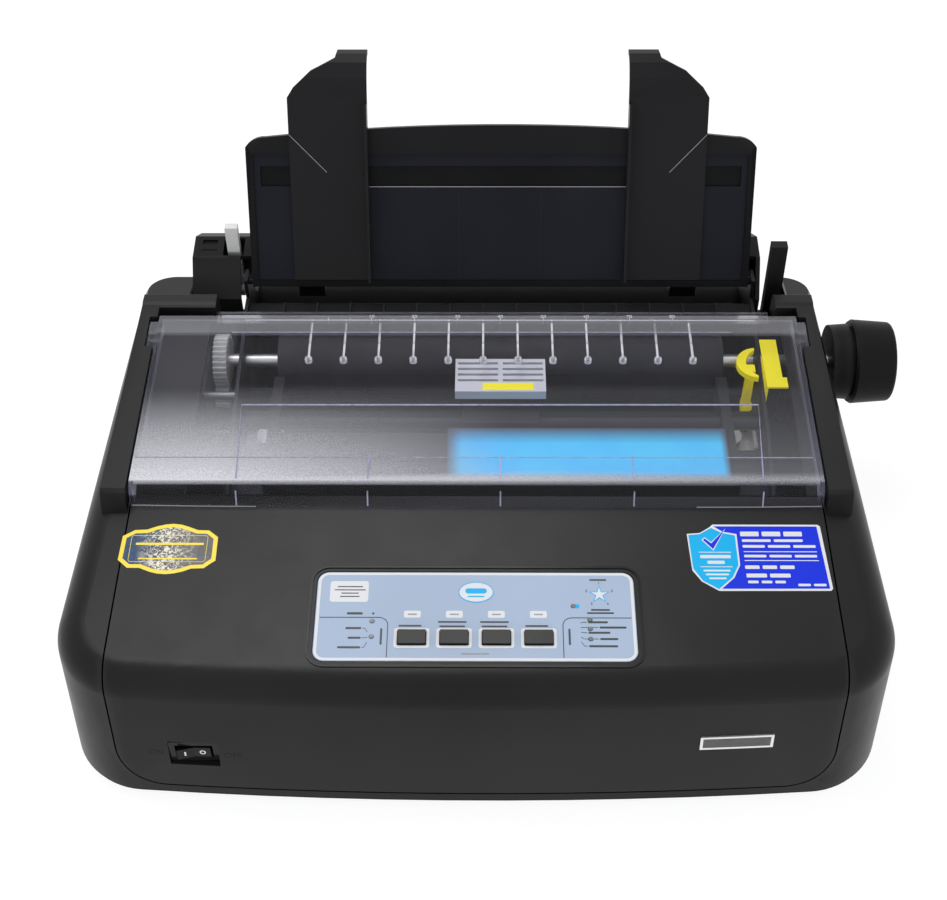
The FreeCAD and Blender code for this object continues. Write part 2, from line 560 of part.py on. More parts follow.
def main_case(shell):
    """The shell round the sides and back, with its arms, screw bosses and openings."""
    bosses = [rod("boss_r", "boss_tall", (x, y, "case_floor_z")) for x, y in boss_places()]
    bores = [rod("screw_r + fit_gap", "boss_tall - boss_roof", (x, y, "case_floor_z"))
             for x, y in boss_places()]
    bay = span(("bay_left_x", "bay_right_x"), ("bay_front_y", "deck_peak_y + cut_past"),
               ("rear_wall_z", "case_tall * 2"))
    back_bay = span(("rear_bay_left_x", "rear_bay_right_x"), ("arm_back_y", "case_back_y + cut_over"),
                    ("rear_wall_z", "case_tall * 2"))
    middle_bay = span(("-arm_cross_left_x", "arm_cross_right_x"), ("deck_peak_y", "arm_back_y + cut_past"),
                      ("rear_wall_z", "case_tall * 2"))
    knob_way = rod("knob_hole_r", "cut_over * 2", ("case_half_rear - cut_over", "platen_y", "platen_z"),
                   ALONG_X)
    inlet_way = span(("inlet_x - inlet_wide / 2 - inlet_slack", "inlet_x + inlet_wide / 2 + inlet_slack"),
                     ("case_back_y - cut_over / 2", "case_back_y + cut_over"),
                     ("inlet_z - inlet_tall / 2 - inlet_slack", "inlet_z + inlet_tall / 2 + inlet_slack"))
    port_way = span(("port_x - port_long / 2 - inlet_slack", "port_x + port_long / 2 + inlet_slack"),
                    ("case_back_y - cut_over / 2", "case_back_y + cut_over"),
                    ("port_z - port_tall / 2 - inlet_slack", "port_z + port_tall / 2 + inlet_slack"))
    vents = [span(("vent_x + %d * vent_pitch" % n, "vent_x + %d * vent_pitch + vent_wide" % n),
                  ("case_back_y - cut_over / 2", "case_back_y + cut_over"),
                  ("vent_z", "vent_z + vent_tall")) for n in range(SIZES["vent_count"])]
    walls = cut(shell, cover_outline("groove_gap"), bay)
    arms = joined(arm(-1, "arm_cross_left_x", "left_arm"), arm(1, "arm_cross_right_x", "right_arm"))
    whole = joined(walls, cut(arms, case_solid("arm_trim", "skin_overlap")), *bosses)
    openings = [back_bay, middle_bay, knob_way, inlet_way, port_way, hinge_notch(-1), hinge_notch(1)]
    return piece(cut(whole, *openings, *bores, *vents), "main_case")


def deck_spot(x, up, above=0):
    """A place on the deck by its distances along the slope and above it."""
    return (x, "deck_front_y + (%s) * cos(deck_tilt) - (%s) * sin(deck_tilt)" % (up, above),
            "deck_front_z + (%s) * sin(deck_tilt) + (%s) * cos(deck_tilt)" % (up, above))


def deck_block(x, up, above):
    """A box in the slope of the deck, between two sizes on each axis."""
    size = ["(%s) - (%s)" % (high, low) for low, high in (x, up, above)]
    return block(size, deck_spot(x[0], up[0], above[0]), tilt="deck_tilt")


def rounded_panel(name, half, low, high, below, above):
    """A plate with round corners in the slope of the deck."""
    body = new_body(name)
    pad(body, "XY_Plane", [
        ("-(%s)" % half, "0"), (half, "0"), (half, "(%s) - (%s)" % (high, low)),
        ("-(%s)" % half, "(%s) - (%s)" % (high, low)),
    ], "(%s) - (%s)" % (above, below))
    fillet(body, "panel_round", is_post)
    return place(body, deck_spot("0", low, below), tilt="deck_tilt")


def button_hole(slot, slack):
    """The way of one button through a wall in the slope of the deck."""
    middle = "button_pitch * %s" % slot
    half = "button_wide / 2 + (%s)" % slack
    deep = "button_deep / 2 + (%s)" % slack
    return deck_block(("%s - (%s)" % (middle, half), "%s + %s" % (middle, half)),
                      ("button_up - (%s)" % deep, "button_up + %s" % deep),
                      ("-case_wall * 2", "case_wall"))


def front_cover(shell):
    """The cover set into the front, with the panel's recess and the ways for what shows through."""
    recess = rounded_panel("panel_recess", "panel_half", "panel_low", "panel_low + panel_tall",
                           "-panel_sunk", "case_wall")
    window = span(("switch_x - switch_wide / 2", "switch_x + switch_wide / 2"),
                  ("case_front_y - cut_over", "case_front_y + cut_over"),
                  ("switch_z - switch_tall / 2", "switch_z + switch_tall / 2"))
    holes = [button_hole(slot, "button_gap * 2") for slot in BUTTON_SLOTS]
    lamp_ways = [rod("lamp_r + button_gap", "case_wall * 3", spot, tilt="deck_tilt")
                 for spot in lamp_spots("-case_wall * 2")]
    skin = common(shell, cover_outline("0"))
    return piece(cut(skin, recess, window, *holes, *lamp_ways), "front_cover")


def badge_plate(outer):
    """A thin bare plate that follows the bow of the front."""
    block_item = span(("badge_x - badge_long / 2", "badge_x + badge_long / 2"),
                      ("case_front_y - cut_over", "case_front_y + cut_over"),
                      ("badge_z - badge_tall / 2", "badge_z + badge_tall / 2"))
    layer = cut(case_solid("badge_form", "-badge_proud"), outer)
    return piece(common(layer, block_item), "badge_plate")


def base_pan():
    """The floor of the case, with posts for the board and ways for the screws."""
    body = new_body("pan_plate")
    sketch = new_sketch(body, "XY_Plane", "pan_low_z")
    draw_case_plan(sketch, "pan_inset")
    base = body.newObject("PartDesign::Pad", "pad")
    base.Profile = sketch
    bind(base, Length="case_floor_z - pan_low_z")
    document.recompute()
    pocket(body, "XY_Plane", [
        ("-case_half_front", "case_back_y - pan_inset"), ("case_half_front", "case_back_y - pan_inset"),
        ("case_half_front", "case_back_y + case_tall * 2"),
        ("-case_half_front", "case_back_y + case_tall * 2"),
    ], "cut_over", lift="case_floor_z")
    fillet(body, "rear_corner_r - pan_inset",
           lambda e: is_post(e) and e.BoundBox.YMin > worth("deck_peak_y"))
    posts = [rod("post_r", "board_z - case_floor_z", (x, y, "case_floor_z")) for x, y in board_posts()]
    ways = [rod("screw_r + button_gap", "cut_over", (x, y, "pan_low_z - cut_over / 2"))
            for x, y in boss_places()]
    sinks = [rod("screw_head_r + button_gap", "cut_over", (x, y, "pan_low_z + screw_head - cut_over"))
             for x, y in boss_places()]
    return piece(cut(joined(body, *posts), *ways, *sinks), "base_pan")


def is_post(edge):
    """Whether an edge is upright and straight."""
    box = edge.BoundBox
    return box.ZLength > SIZES["cut_past"] and max(box.XLength, box.YLength) < SIZES["hair"]


def feet():
    """Four rubber feet under the floor."""
    spots = [(x, y) for x in ("-foot_x", "foot_x") for y in ("foot_front_y", "foot_back_y")]
    return piece(grouped(*[rod("foot_r", "pan_low_z", (x, y, 0)) for x, y in spots]), "rubber_feet")


def case_screws():
    """Four screws that hold the floor to the case."""
    screws = []
    for x, y in boss_places():
        head = rod("screw_head_r", "screw_head - air_gap", (x, y, "pan_low_z + air_gap"))
        shank = rod("screw_r", "boss_tall - boss_roof * 2", (x, y, "pan_low_z + screw_head"))
        screws.append(joined(head, shank))
    return piece(grouped(*screws), "case_screws")


# Smoke cover


def smoke_cover():
    """The see-through lid: a shallow tray with guide ribs, hinge tabs and pins."""
    lid = new_body("lid")
    half = "cover_half"
    top = [
        ("cover_lip_y", "cover_lip_z"),
        ("cover_roll_y - cover_brow_run", "cover_front_z - cover_brow_drop"),
        ("cover_roll_y - cover_roll_run", "cover_front_z - cover_roll_drop"),
        ("cover_roll_y + cover_roll_run", "cover_front_z"),
        ("cover_back_y", "cover_back_z"),
        ("cover_back_y", "cover_back_z - cover_wall"),
        ("hinge_y", "cover_back_z - cover_side_deep"),
        ("cover_roll_y + cover_side_run", "cover_front_z - cover_side_deep"),
        ("cover_roll_y", "cover_lip_z"),
    ]
    pad(lid, "YZ_Plane", top, "cover_half * 2", middle=True)
    inner = [
        ("cover_lip_y + cover_wall * 1.05", "cover_lip_z - cut_over"),
        ("cover_lip_y + cover_wall * 1.05", "cover_lip_z"),
        ("cover_roll_y - cover_roll_run", "cover_front_z - cover_wall * 1.6"),
        ("cover_roll_y + cover_roll_run", "cover_front_z - cover_wall"),
        ("cover_back_y - rib_back", "cover_back_z - cover_wall"),
        ("cover_back_y - rib_back", "cover_lip_z - cut_over"),
    ]
    pocket(lid, "YZ_Plane", inner, "(cover_half - cover_wall) * 2", middle=True)
    rise = "((cover_back_z - cover_front_z) / (cover_back_y - cover_roll_y))"
    parts = [lid]
    for number in range(int(SIZES["rib_count"])):
        middle = "path_x + rib_pitch * %s" % (number - (SIZES["rib_count"] - 1) / 2)
        start = "cover_back_y - rib_back - rib_long"
        low = "cover_back_z - cover_wall - rib_deep - rib_long * " + rise
        rib = new_body("rib")
        pad(rib, "YZ_Plane", [
            (start, low),
            ("cover_back_y - rib_back", "cover_back_z - cover_wall - rib_deep"),
            ("cover_back_y - rib_back", "cover_back_z - cover_wall / 2"),
            (start, "cover_back_z - cover_wall / 2 - rib_long * " + rise),
        ], "rib_wide", lift=middle + " - rib_wide / 2")
        ring = rod("ring_r", "rib_deep + cover_wall / 2", (middle, start, low))
        hole = rod("ring_hole_r", "rib_deep + cover_wall / 2", (middle, start, low + " - join_lap / 2"))
        parts.append(cut(joined(rib, ring), hole))
    whole = joined(*parts, hinge_tab(), mirrored(hinge_tab()))
    return piece(whole, "smoke_cover")


def hinge_tab():
    """The tab on the right of the lid, with its pin."""
    tab = new_body("tab")
    low = "hinge_z - tab_radius"
    pad(tab, "YZ_Plane", [
        ("hinge_y - tab_long", low + " + tab_rise"),
        ("hinge_y", low),
        ("hinge_y", "hinge_z + tab_radius", ("hinge_y + tab_radius", "hinge_z")),
        ("hinge_y - tab_long", "hinge_z + tab_radius - tab_slope"),
    ], "tab_wide + cover_wall", lift="cover_half - cover_wall")
    pin = rod("hinge_pin_r", "tab_wide + hinge_pin_long", ("cover_half", "hinge_y", "hinge_z"), ALONG_X)
    return joined(tab, pin)


# Frames and paper path


def side_frame(start, name, holes):
    """A steel side plate with the ways for the shafts that it carries."""
    body = new_body(name + "_plate")
    corners = [
        ("frame_front_y", "case_floor_z"), ("frame_rear_y", "case_floor_z"),
        ("frame_rear_y", "frame_tail_low_z"),
        ("frame_tail_y", "frame_tail_low_z"), ("frame_tail_y", "frame_tail_top_z"),
        ("frame_rear_y", "frame_tail_top_z"), (PIVOT_Y + " + frame_ear_half", "frame_ear_z"),
        (PIVOT_Y + " - frame_ear_half", "frame_ear_z"), (PIVOT_Y + " - frame_ear_half", "frame_shelf_z"),
        ("frame_step_y", "frame_shelf_z"), ("frame_step_y", "frame_top_z"),
        ("ribbon_back_y", "frame_front_z"), ("frame_front_y", "frame_nose_z"),
    ]
    pad(body, "YZ_Plane", corners, "frame_thick", lift=start, rings=holes)
    return piece(body, name)


PIVOT_Y = "(guide_y + pivot_up * sin(guide_tilt) + guide_thick / 2 * cos(guide_tilt))"
PIVOT_Z = "(guide_z + pivot_up * cos(guide_tilt) - guide_thick / 2 * sin(guide_tilt))"
ROLLER_Z = "(platen_z - platen_r - roller_r - roller_gap)"


def side_frames():
    """Both side plates, with the holes that they share and each one's own."""
    shared = [
        (("platen_y", "platen_z"), "bush_r + fit_gap"),
        (("rod_y", "rod_z"), "rod_r + fit_gap"),
        (("roller_y", ROLLER_Z), "roller_shaft_r + running_gap"),
        ((PIVOT_Y, PIVOT_Z), "pivot_pin_r + running_gap"),
        (("tractor_y", "tractor_z"), "tractor_shaft_r + running_gap"),
        (("tractor_y + tractor_rail_back", "tractor_z + tractor_rail_up"), "tractor_rail_r + fit_gap"),
    ]
    left = shared + [(("lever_y", "lever_z"), "lever_pin_r + running_gap")]
    right = shared + [
        (("feed_lever_y", "feed_lever_z"), "lever_pin_r + running_gap"),
        (("gap_lever_y", "gap_lever_z"), "lever_pin_r + running_gap"),
    ]
    side_frame("frame_left_x", "left_frame", left)
    side_frame("frame_right_x", "right_frame", right)


def across(radius, left, right, y, z):
    """A round bar along X between two places."""
    return rod(radius, "(%s) - (%s)" % (right, left), (left, y, z), ALONG_X)


def frame_rod(radius, y, z):
    """A round bar that passes both side frames a little."""
    return across(radius, "frame_left_x - shaft_past", "frame_right_x + frame_thick + shaft_past", y, z)


def platen():
    """The rubber roller, its shaft, its bushes and its knob."""
    left = "path_x - platen_half"
    right = "path_x + platen_half"
    roller = cut(across("platen_r", left, right, "platen_y", "platen_z"),
                 across("shaft_r + fit_gap", left + " - cut_past", right + " + cut_past",
                        "platen_y", "platen_z"))
    piece(roller, "platen_roller")
    shaft = across("shaft_r", "gear_x - shaft_past", "knob_shaft_end_x", "platen_y", "platen_z")
    piece(grouped(shaft), "platen_shaft")
    bushes = []
    for face, out in (("frame_left_x", -1), ("frame_right_x + frame_thick", 1)):
        inner = "%s + %s * frame_thick" % (face, -out)
        outer = "%s + %s * flange_thick" % (face, out)
        low, high = (outer, inner) if out < 0 else (inner, outer)
        flange_low, flange_high = (outer, face) if out < 0 else (face, outer)
        ring = joined(across("bush_r", low, high, "platen_y", "platen_z"),
                      across("bush_flange_r", flange_low, flange_high, "platen_y", "platen_z"))
        bore = across("shaft_r + running_gap", low + " - cut_past", high + " + cut_past",
                      "platen_y", "platen_z")
        bushes.append(cut(ring, bore))
    piece(grouped(*bushes), "platen_bushes")


def platen_knob():
    """The turned knob with a collar, a groove and a rounded cap."""
    body = new_body("knob_form")
    sketch = new_sketch(body, "XY_Plane")
    draw_outline(sketch, [
        ("0", "shaft_r + fit_gap"),
        ("knob_shaft_end_x - knob_start_x + knob_bore_slack", "shaft_r + fit_gap"),
        ("knob_shaft_end_x - knob_start_x + knob_bore_slack", "0"), ("knob_end_x - knob_start_x", "0"),
        ("knob_end_x - knob_start_x", "knob_tip_r - knob_round"),
        ("knob_end_x - knob_start_x - knob_round", "knob_tip_r",
         ("knob_end_x - knob_start_x - knob_round * 0.293", "knob_tip_r - knob_round * 0.293")),
        ("knob_groove_x - knob_start_x + knob_edge_run", "knob_r"),
        ("knob_groove_x - knob_start_x", "knob_r - knob_edge"),
        ("knob_groove_x - knob_start_x", "knob_groove_r"), ("knob_collar_x - knob_start_x", "knob_groove_r"),
        ("knob_collar_x - knob_start_x", "knob_collar_r"), ("0", "knob_collar_r - knob_taper"),
    ])
    feature = body.newObject("PartDesign::Revolution", "turned")
    feature.Profile = sketch
    feature.ReferenceAxis = (sketch, ["H_Axis"])
    feature.Angle = 360
    document.recompute()
    piece(body, "platen_knob", ("knob_start_x", "platen_y", "platen_z"))


# Where a tooth's outline turns, as shares of the pitch to each side of its middle.
TOOTH_SHARES = (-0.33, -0.225, -0.1, 0.1, 0.225, 0.33)


def gear_wire(teeth, module, turn):
    """The outline of a spur gear with straight-sided teeth, cut thin for backlash."""
    pitch_r = teeth * module / 2
    root_r = pitch_r - 1.25 * module
    tip_r = pitch_r + 0.9 * module
    step = 2 * math.pi / teeth
    radii = (root_r, pitch_r, tip_r, tip_r, pitch_r, root_r)
    spots = []
    for tooth in range(teeth):
        middle = tooth * step + turn
        for radius, share in zip(radii, TOOTH_SHARES):
            angle = middle + share * step
            spots.append(Vector(radius * math.cos(angle), radius * math.sin(angle), 0))
    return Part.makePolygon(spots + spots[:1])


def gear_shape(teeth, turn, bore_r):
    """A spur gear's solid along Z with a round bore."""
    wide = SIZES["gear_wide"]
    wheel = Part.Face(gear_wire(teeth, SIZES["gear_module"], turn)).extrude(Vector(0, 0, wide))
    if not bore_r:
        return wheel
    return wheel.cut(Part.makeCylinder(bore_r, wide, Vector()))


def fixed_shape(label, shape, at, turn=UP):
    """A sub-part whose shape is set from the sizes, then placed."""
    item = document.addObject("Part::Feature", label)
    item.Shape = shape
    item.Label = label
    x, y, z = at
    item.Placement = Placement(Vector(), turn)
    for letter, text in zip("xyz", ("%s + %s" % (FRAME_X, x), "%s + %s" % (FRAME_Y, y), z)):
        item.setExpression("Placement.Base." + letter, bound(text))
    PIECES.append(item)
    return item


GEAR_REACH = "(gear_module * (gear_teeth + pinion_teeth) / 2 + gear_centre_gap)"
MOTOR_Y = "(platen_y - motor_back)"
MOTOR_Z = "(platen_z - sqrt(%s * %s - motor_back * motor_back))" % (GEAR_REACH, GEAR_REACH)


def feed_gears():
    """The platen's gear, the motor's pinion in mesh with it, and the motor on its spacers."""
    teeth, small = int(SIZES["gear_teeth"]), int(SIZES["pinion_teeth"])
    reach = worth(GEAR_REACH)
    back = worth("motor_back")
    down = math.sqrt(reach * reach - back * back)
    bearing = math.atan2(-back, down)
    # After the turn to the X axis, a gear's own X axis points down and its own Y axis to the back.
    gear = gear_shape(teeth, bearing, worth("shaft_r + fit_gap"))
    fixed_shape("platen_gear", gear, ("gear_x", "platen_y", "platen_z"), ALONG_X)
    pinion = gear_shape(small, bearing + math.pi + math.pi / small, 0)
    stub = Part.makeCylinder(SIZES["motor_shaft_r"], worth("gear_x - motor_plate_x"),
                             Vector(0, 0, -worth("gear_x - motor_plate_x")))
    fixed_shape("feed_pinion", pinion.fuse(stub), ("gear_x", MOTOR_Y, MOTOR_Z), ALONG_X)
    half = "motor_side / 2"
    plate = span(("motor_plate_x", "motor_plate_x + motor_plate_thick"),
                 (MOTOR_Y + " - " + half, MOTOR_Y + " + " + half),
                 (MOTOR_Z + " - " + half, MOTOR_Z + " + " + half))
    can = across("motor_r", "motor_plate_x - motor_long", "motor_plate_x", MOTOR_Y, MOTOR_Z)
    bore = across("motor_shaft_r + running_gap", "motor_plate_x - stub_deep",
                  "motor_plate_x + motor_plate_thick + cut_past", MOTOR_Y, MOTOR_Z)
    spots = [("-", "-"), ("-", "+"), ("+", "-")]
    spacers = [across("spacer_r", "motor_plate_x + motor_plate_thick", "frame_left_x",
                      "%s %s motor_hole" % (MOTOR_Y, y), "%s %s motor_hole" % (MOTOR_Z, z))
               for y, z in spots]
    piece(cut(joined(plate, can, *spacers), bore), "feed_motor")


def pressure_rollers():
    """Four rollers under the platen on one shaft."""
    rollers = []
    for share in (-0.75, -0.25, 0.25, 0.75):
        middle = "path_x + platen_half * %s" % share
        left, right = middle + " - roller_long / 2", middle + " + roller_long / 2"
        rollers.append(across("roller_r", left, right, "roller_y", ROLLER_Z))
    piece(joined(frame_rod("roller_shaft_r", "roller_y", ROLLER_Z), *rollers), "pressure_rollers")


def paper_chute():
    """The ribbed sill behind the platen and the apron that brings fanfold paper up to it."""
    body = new_body("sill")
    pad(body, "YZ_Plane", [
        ("chute_front_y", "chute_lip_z"), ("chute_front_y + chute_thick", "chute_lip_z"),
        ("chute_front_y + chute_thick", "chute_z - chute_thick"),
        ("chute_back_y - chute_thick", "chute_z - chute_thick"),
        ("apron_bend_y - chute_thick", "apron_bend_z - chute_thick"),
        ("apron_end_y", "apron_end_z - chute_thick"), ("apron_end_y", "apron_end_z"),
        ("apron_bend_y", "apron_bend_z"), ("chute_back_y", "chute_z"),
        ("chute_front_y + chute_edge", "chute_z"), ("chute_front_y", "chute_z - chute_edge"),
    ], "frame_right_x - frame_left_x - frame_thick", lift="frame_left_x + frame_thick")
    count = SIZES["chute_rib_count"]
    ribs = []
    for number in range(count):
        middle = "path_x + rib_pitch * %s" % (number - (count - 1) / 2)
        ribs.append(span((middle + " - chute_rib_wide / 2", middle + " + chute_rib_wide / 2"),
                         ("chute_front_y + chute_edge", "chute_back_y - chute_edge"),
                         ("chute_z - chute_thick / 2", "chute_z + chute_rib_tall")))
    piece(joined(body, *ribs), "paper_chute")


def tear_bar():
    """The clear bar with a raised rail that tears the paper and carries the column scale."""
    left, right = "-arm_cross_left_x + air_gap", "tear_end_x - air_gap"
    bar = span((left, right), ("tear_front_y", "tear_back_y"), ("tear_z", "tear_z + tear_thick"))
    rail = span((left, right), ("tear_back_y - tear_thick", "tear_back_y"), ("tear_z", "tear_z + tear_rail"))
    piece(joined(bar, rail), "tear_bar")


# Carriage and ribbon


def carriage():
    """The block that slides on the rod, with its lug beside the belt."""
    left, right = "path_x - carriage_half", "path_x + carriage_half"
    floor = span((left, right), ("carriage_front_y", "carriage_back_y"),
                 ("carriage_low_z", "carriage_low_z + carriage_floor"))
    boss = span((left, right), ("rod_y - rod_boss", "rod_y + rod_boss"),
                ("carriage_low_z + join_lap", "rod_z + rod_boss"))
    lug = span(("path_x - belt_lug_half", "path_x + belt_lug_half"),
               ("belt_y - pulley_r + air_gap * 2", "belt_y - pulley_r + air_gap * 2 + belt_lug_deep"),
               ("belt_low_z", "carriage_low_z + join_lap"))
    bore = across("rod_r + running_gap", left + " - cut_past", right + " + cut_past", "rod_y", "rod_z")
    piece(cut(joined(floor, boss, lug), bore), "carriage")


def print_head():
    """The head with its nose and its finned cooler."""
    low = "carriage_low_z + carriage_floor"
    body_block = span(("path_x - head_half", "path_x + head_half"),
                      ("head_front_y", "carriage_back_y - head_back"), (low, "head_top_z"))
    nose = new_body("head_nose")
    pad(nose, "XY_Plane", [
        ("path_x - nose_half * 2", "carriage_back_y - head_back - join_lap"),
        ("path_x + nose_half * 2", "carriage_back_y - head_back - join_lap"),
        ("path_x + nose_half", "nose_tip_y"), ("path_x - nose_half", "nose_tip_y"),
    ], "nose_top_z - nose_low_z", lift="nose_low_z")
    piece(joined(body_block, nose), "print_head")
    fins = new_body("cooler")
    pad(fins, "XY_Plane", [
        ("path_x - fins_half", "fins_front_y"), ("path_x + fins_half", "fins_front_y"),
        ("path_x + fins_half", "fins_back_y"), ("path_x - fins_half", "fins_back_y"),
    ], "fins_top_z - head_top_z", lift="head_top_z")
    count = int(SIZES["bar_count"])
    pitch = "((fins_back_y - fins_front_y - front_bar_deep - bar_wide) / %d)" % (count - 1)
    for number in range(count - 1):
        near = "fins_back_y - %s * %d - bar_wide" % (pitch, number)
        far = "fins_back_y - %s * %d" % (pitch, number + 1)
        for low_x, high_x in (("path_x - fins_half + fin_inset", "path_x - bar_wide / 2"),
                              ("path_x + bar_wide / 2", "path_x + fins_half - fin_inset")):
            pocket(fins, "XY_Plane", [(low_x, far), (high_x, far), (high_x, near), (low_x, near)],
                   "fins_top_z - head_top_z - fins_base", lift="fins_top_z")
    piece(fins, "head_cooler")


def carriage_way():
    """The rod and the rear rail that carry the carriage."""
    piece(grouped(frame_rod("rod_r", "rod_y", "rod_z")), "guide_rod")
    piece(grouped(span(("frame_left_x + frame_thick", "frame_right_x"), ("rail_y", "rail_y + rail_thick"),
                       ("rail_low_z", "carriage_low_z - air_gap"))), "support_rail")


def belt_loop(radius, low, high):
    """A flat-sided loop round both pulleys."""
    box = span(("pulley_left_x", "pulley_right_x"), ("belt_y - (%s)" % radius, "belt_y + (%s)" % radius),
               (low, high))
    tall = "(%s) - (%s)" % (high, low)
    ends = [rod(radius, tall, (x, "belt_y", low)) for x in ("pulley_left_x", "pulley_right_x")]
    return joined(box, *ends)


def carriage_drive():
    """The belt, its pulleys, their brackets and the drive motor."""
    top = "belt_low_z + belt_tall"
    inner = "pulley_r + air_gap"
    loop = cut(belt_loop(inner + " + belt_thick", "belt_low_z", top),
               belt_loop(inner, "belt_low_z - cut_past", top + " + cut_past"))
    piece(loop, "carriage_belt")
    for label, x, on_stud in (("idler_pulley", "pulley_left_x", True),
                              ("drive_pulley", "pulley_right_x", False)):
        wheel = rod("pulley_r", "belt_tall + air_gap * 2", (x, "belt_y", "belt_low_z - air_gap"))
        low = rod("pulley_flange_r", "pulley_flange", (x, "belt_y", "belt_low_z - air_gap - pulley_flange"))
        high = rod("pulley_flange_r", "pulley_flange", (x, "belt_y", top + " + air_gap"))
        whole = joined(wheel, low, high)
        if on_stud:
            bore = rod("pulley_shaft_r + running_gap", "pulley_tall * 3",
                       (x, "belt_y", "belt_low_z - pulley_tall"))
            piece(cut(whole, bore), label)
        else:
            shaft = rod("pulley_shaft_r", "belt_low_z - bracket_z", (x, "belt_y", "bracket_z"))
            piece(joined(whole, shaft), label)
    deep = ("belt_y - bracket_half_y", "belt_y + bracket_back")
    left_face = "frame_left_x + frame_thick"
    left = span((left_face, "pulley_left_x + bracket_end"), deep, ("bracket_z", "bracket_z + bracket_thick"))
    stud = rod("pulley_shaft_r", top + " + stud_past - bracket_z", ("pulley_left_x", "belt_y", "bracket_z"))
    left_flap = span((left_face, left_face + " + bracket_thick"), deep,
                     ("bracket_z - bracket_flap", "bracket_z"))
    piece(joined(left, stud, left_flap), "idler_bracket")
    right = span(("frame_right_x - bracket_reach", "frame_right_x"), deep,
                 ("bracket_z", "bracket_z + bracket_thick"))
    right_flap = span(("frame_right_x - bracket_thick", "frame_right_x"), deep,
                      ("bracket_z + join_lap", "bracket_z + bracket_flap"))
    way, mouth = [rod("pulley_shaft_r + running_gap", "cut_over",
                      ("pulley_right_x", "belt_y", "bracket_z - way_low")) for _ in range(2)]
    piece(cut(joined(right, right_flap), way), "motor_bracket")
    can = rod("drive_motor_r", "drive_motor_tall",
              ("pulley_right_x", "belt_y", "bracket_z - drive_motor_tall"))
    piece(cut(can, mouth), "carriage_motor")


def ribbon():
    """The cartridge with its two arms, its turning knob, its tray and the inked band."""
    top = new_body("cartridge_form")
    left, right = "ribbon_left_x", "ribbon_right_x"
    pad(top, "XY_Plane", [
        (left, "ribbon_front_y"), (right, "ribbon_front_y"),
        (right, "ribbon_arm_y"), (right + " - ribbon_arm_wide", "ribbon_arm_y"),
        (right + " - ribbon_arm_wide", "ribbon_back_y"), (left + " + ribbon_arm_wide", "ribbon_back_y"),
        (left + " + ribbon_arm_wide", "ribbon_arm_y"), (left, "ribbon_arm_y"),
    ], "ribbon_top_z - ribbon_low_z", lift="ribbon_low_z")
    fillet(top, "ribbon_round", lambda e: is_post(e) and e.BoundBox.YMax < worth("ribbon_front_y + cut_past"))
    way = rod("ribbon_stem_r + running_gap", "cut_over",
              ("ribbon_knob_x", "ribbon_knob_y", "ribbon_top_z - ribbon_way_deep"))
    rod_way = span(("ribbon_left_x - cut_past", "ribbon_right_x + cut_past"),
                   ("rod_y - rod_r - roller_gap", "rod_y + rod_r + roller_gap"),
                   ("ribbon_low_z - cut_past", "rod_z + rod_r + roller_gap"))
    piece(cut(top, way, rod_way), "ribbon_cartridge")
    cap = rod("ribbon_knob_r", "ribbon_knob_tall",
              ("ribbon_knob_x", "ribbon_knob_y", "ribbon_top_z + air_gap"))
    stem = rod("ribbon_stem_r", "ribbon_knob_tall + ribbon_stem_deep",
               ("ribbon_knob_x", "ribbon_knob_y", "ribbon_top_z + air_gap - ribbon_stem_deep"))
    grip = block(("ribbon_knob_r * 1.5", "cover_wall", "ribbon_grip_tall"),
                 ("ribbon_knob_x - ribbon_knob_r * 0.75", "ribbon_knob_y - cover_wall / 2",
                  "ribbon_top_z + air_gap + ribbon_knob_tall - join_lap / 2"))
    piece(joined(cap, stem, grip), "ribbon_knob")
    band = span(("ribbon_left_x + ribbon_arm_wide", "ribbon_right_x - ribbon_arm_wide"),
                ("nose_tip_y + ribbon_band_gap", "nose_tip_y + ribbon_band_gap + ribbon_band_thick"),
                ("ribbon_band_low_z", "ribbon_band_low_z + ribbon_band_tall"))
    piece(grouped(band), "ribbon_band")
    tray = span(("frame_left_x + frame_thick", "frame_right_x"), ("tray_front_y", "tray_back_y"),
                ("ribbon_low_z - tray_thick", "ribbon_low_z"))
    piece(grouped(tray), "ribbon_tray")


# Sheet guide


def sheet_guide():
    """The tilting panel behind the paper, with a raised rim, a channel and pivot pins."""
    body = new_body("guide_panel")
    left, right = "path_x - guide_half", "path_x + guide_half"
    pad(body, "XZ_Plane", [
        (left, "0"), (right, "0"), (right, "guide_side"),
        (right + " - guide_corner_r", "guide_side + guide_corner_rise",
         (right + " - guide_corner_r * 0.293", "guide_side + guide_corner_rise * 0.6")),
        (left + " + guide_corner_r", "guide_side + guide_corner_rise", ("path_x", "guide_side + guide_crown")),
        (left, "guide_side", (left + " + guide_corner_r * 0.293", "guide_side + guide_corner_rise * 0.6")),
    ], "guide_thick", lift="-guide_thick")
    pocket(body, "XZ_Plane", [
        (left + " + guide_rim", "guide_rim"), (right + " - guide_rim", "guide_rim"),
        (right + " - guide_rim", "guide_side - guide_rim"),
        (left + " + guide_rim", "guide_side - guide_rim"),
    ], "guide_sunk")
    pocket(body, "XZ_Plane", [
        (left + " + guide_rim * 2", "channel_low"), (right + " - guide_rim * 2", "channel_low"),
        (right + " - guide_rim * 2", "channel_low + channel_tall"),
        (left + " + guide_rim * 2", "channel_low + channel_tall"),
    ], "guide_sunk + channel_sunk")
    pins = [
        across("pivot_pin_r", "frame_left_x", left + " + pivot_pin_deep", "guide_thick / 2", "pivot_up"),
        across("pivot_pin_r", right + " - pivot_pin_deep", "frame_right_x + frame_thick", "guide_thick / 2",
               "pivot_up"),
    ]
    return piece(joined(body, *pins), "sheet_guide", (0, "guide_y", "guide_z"), tilt="-guide_tilt")


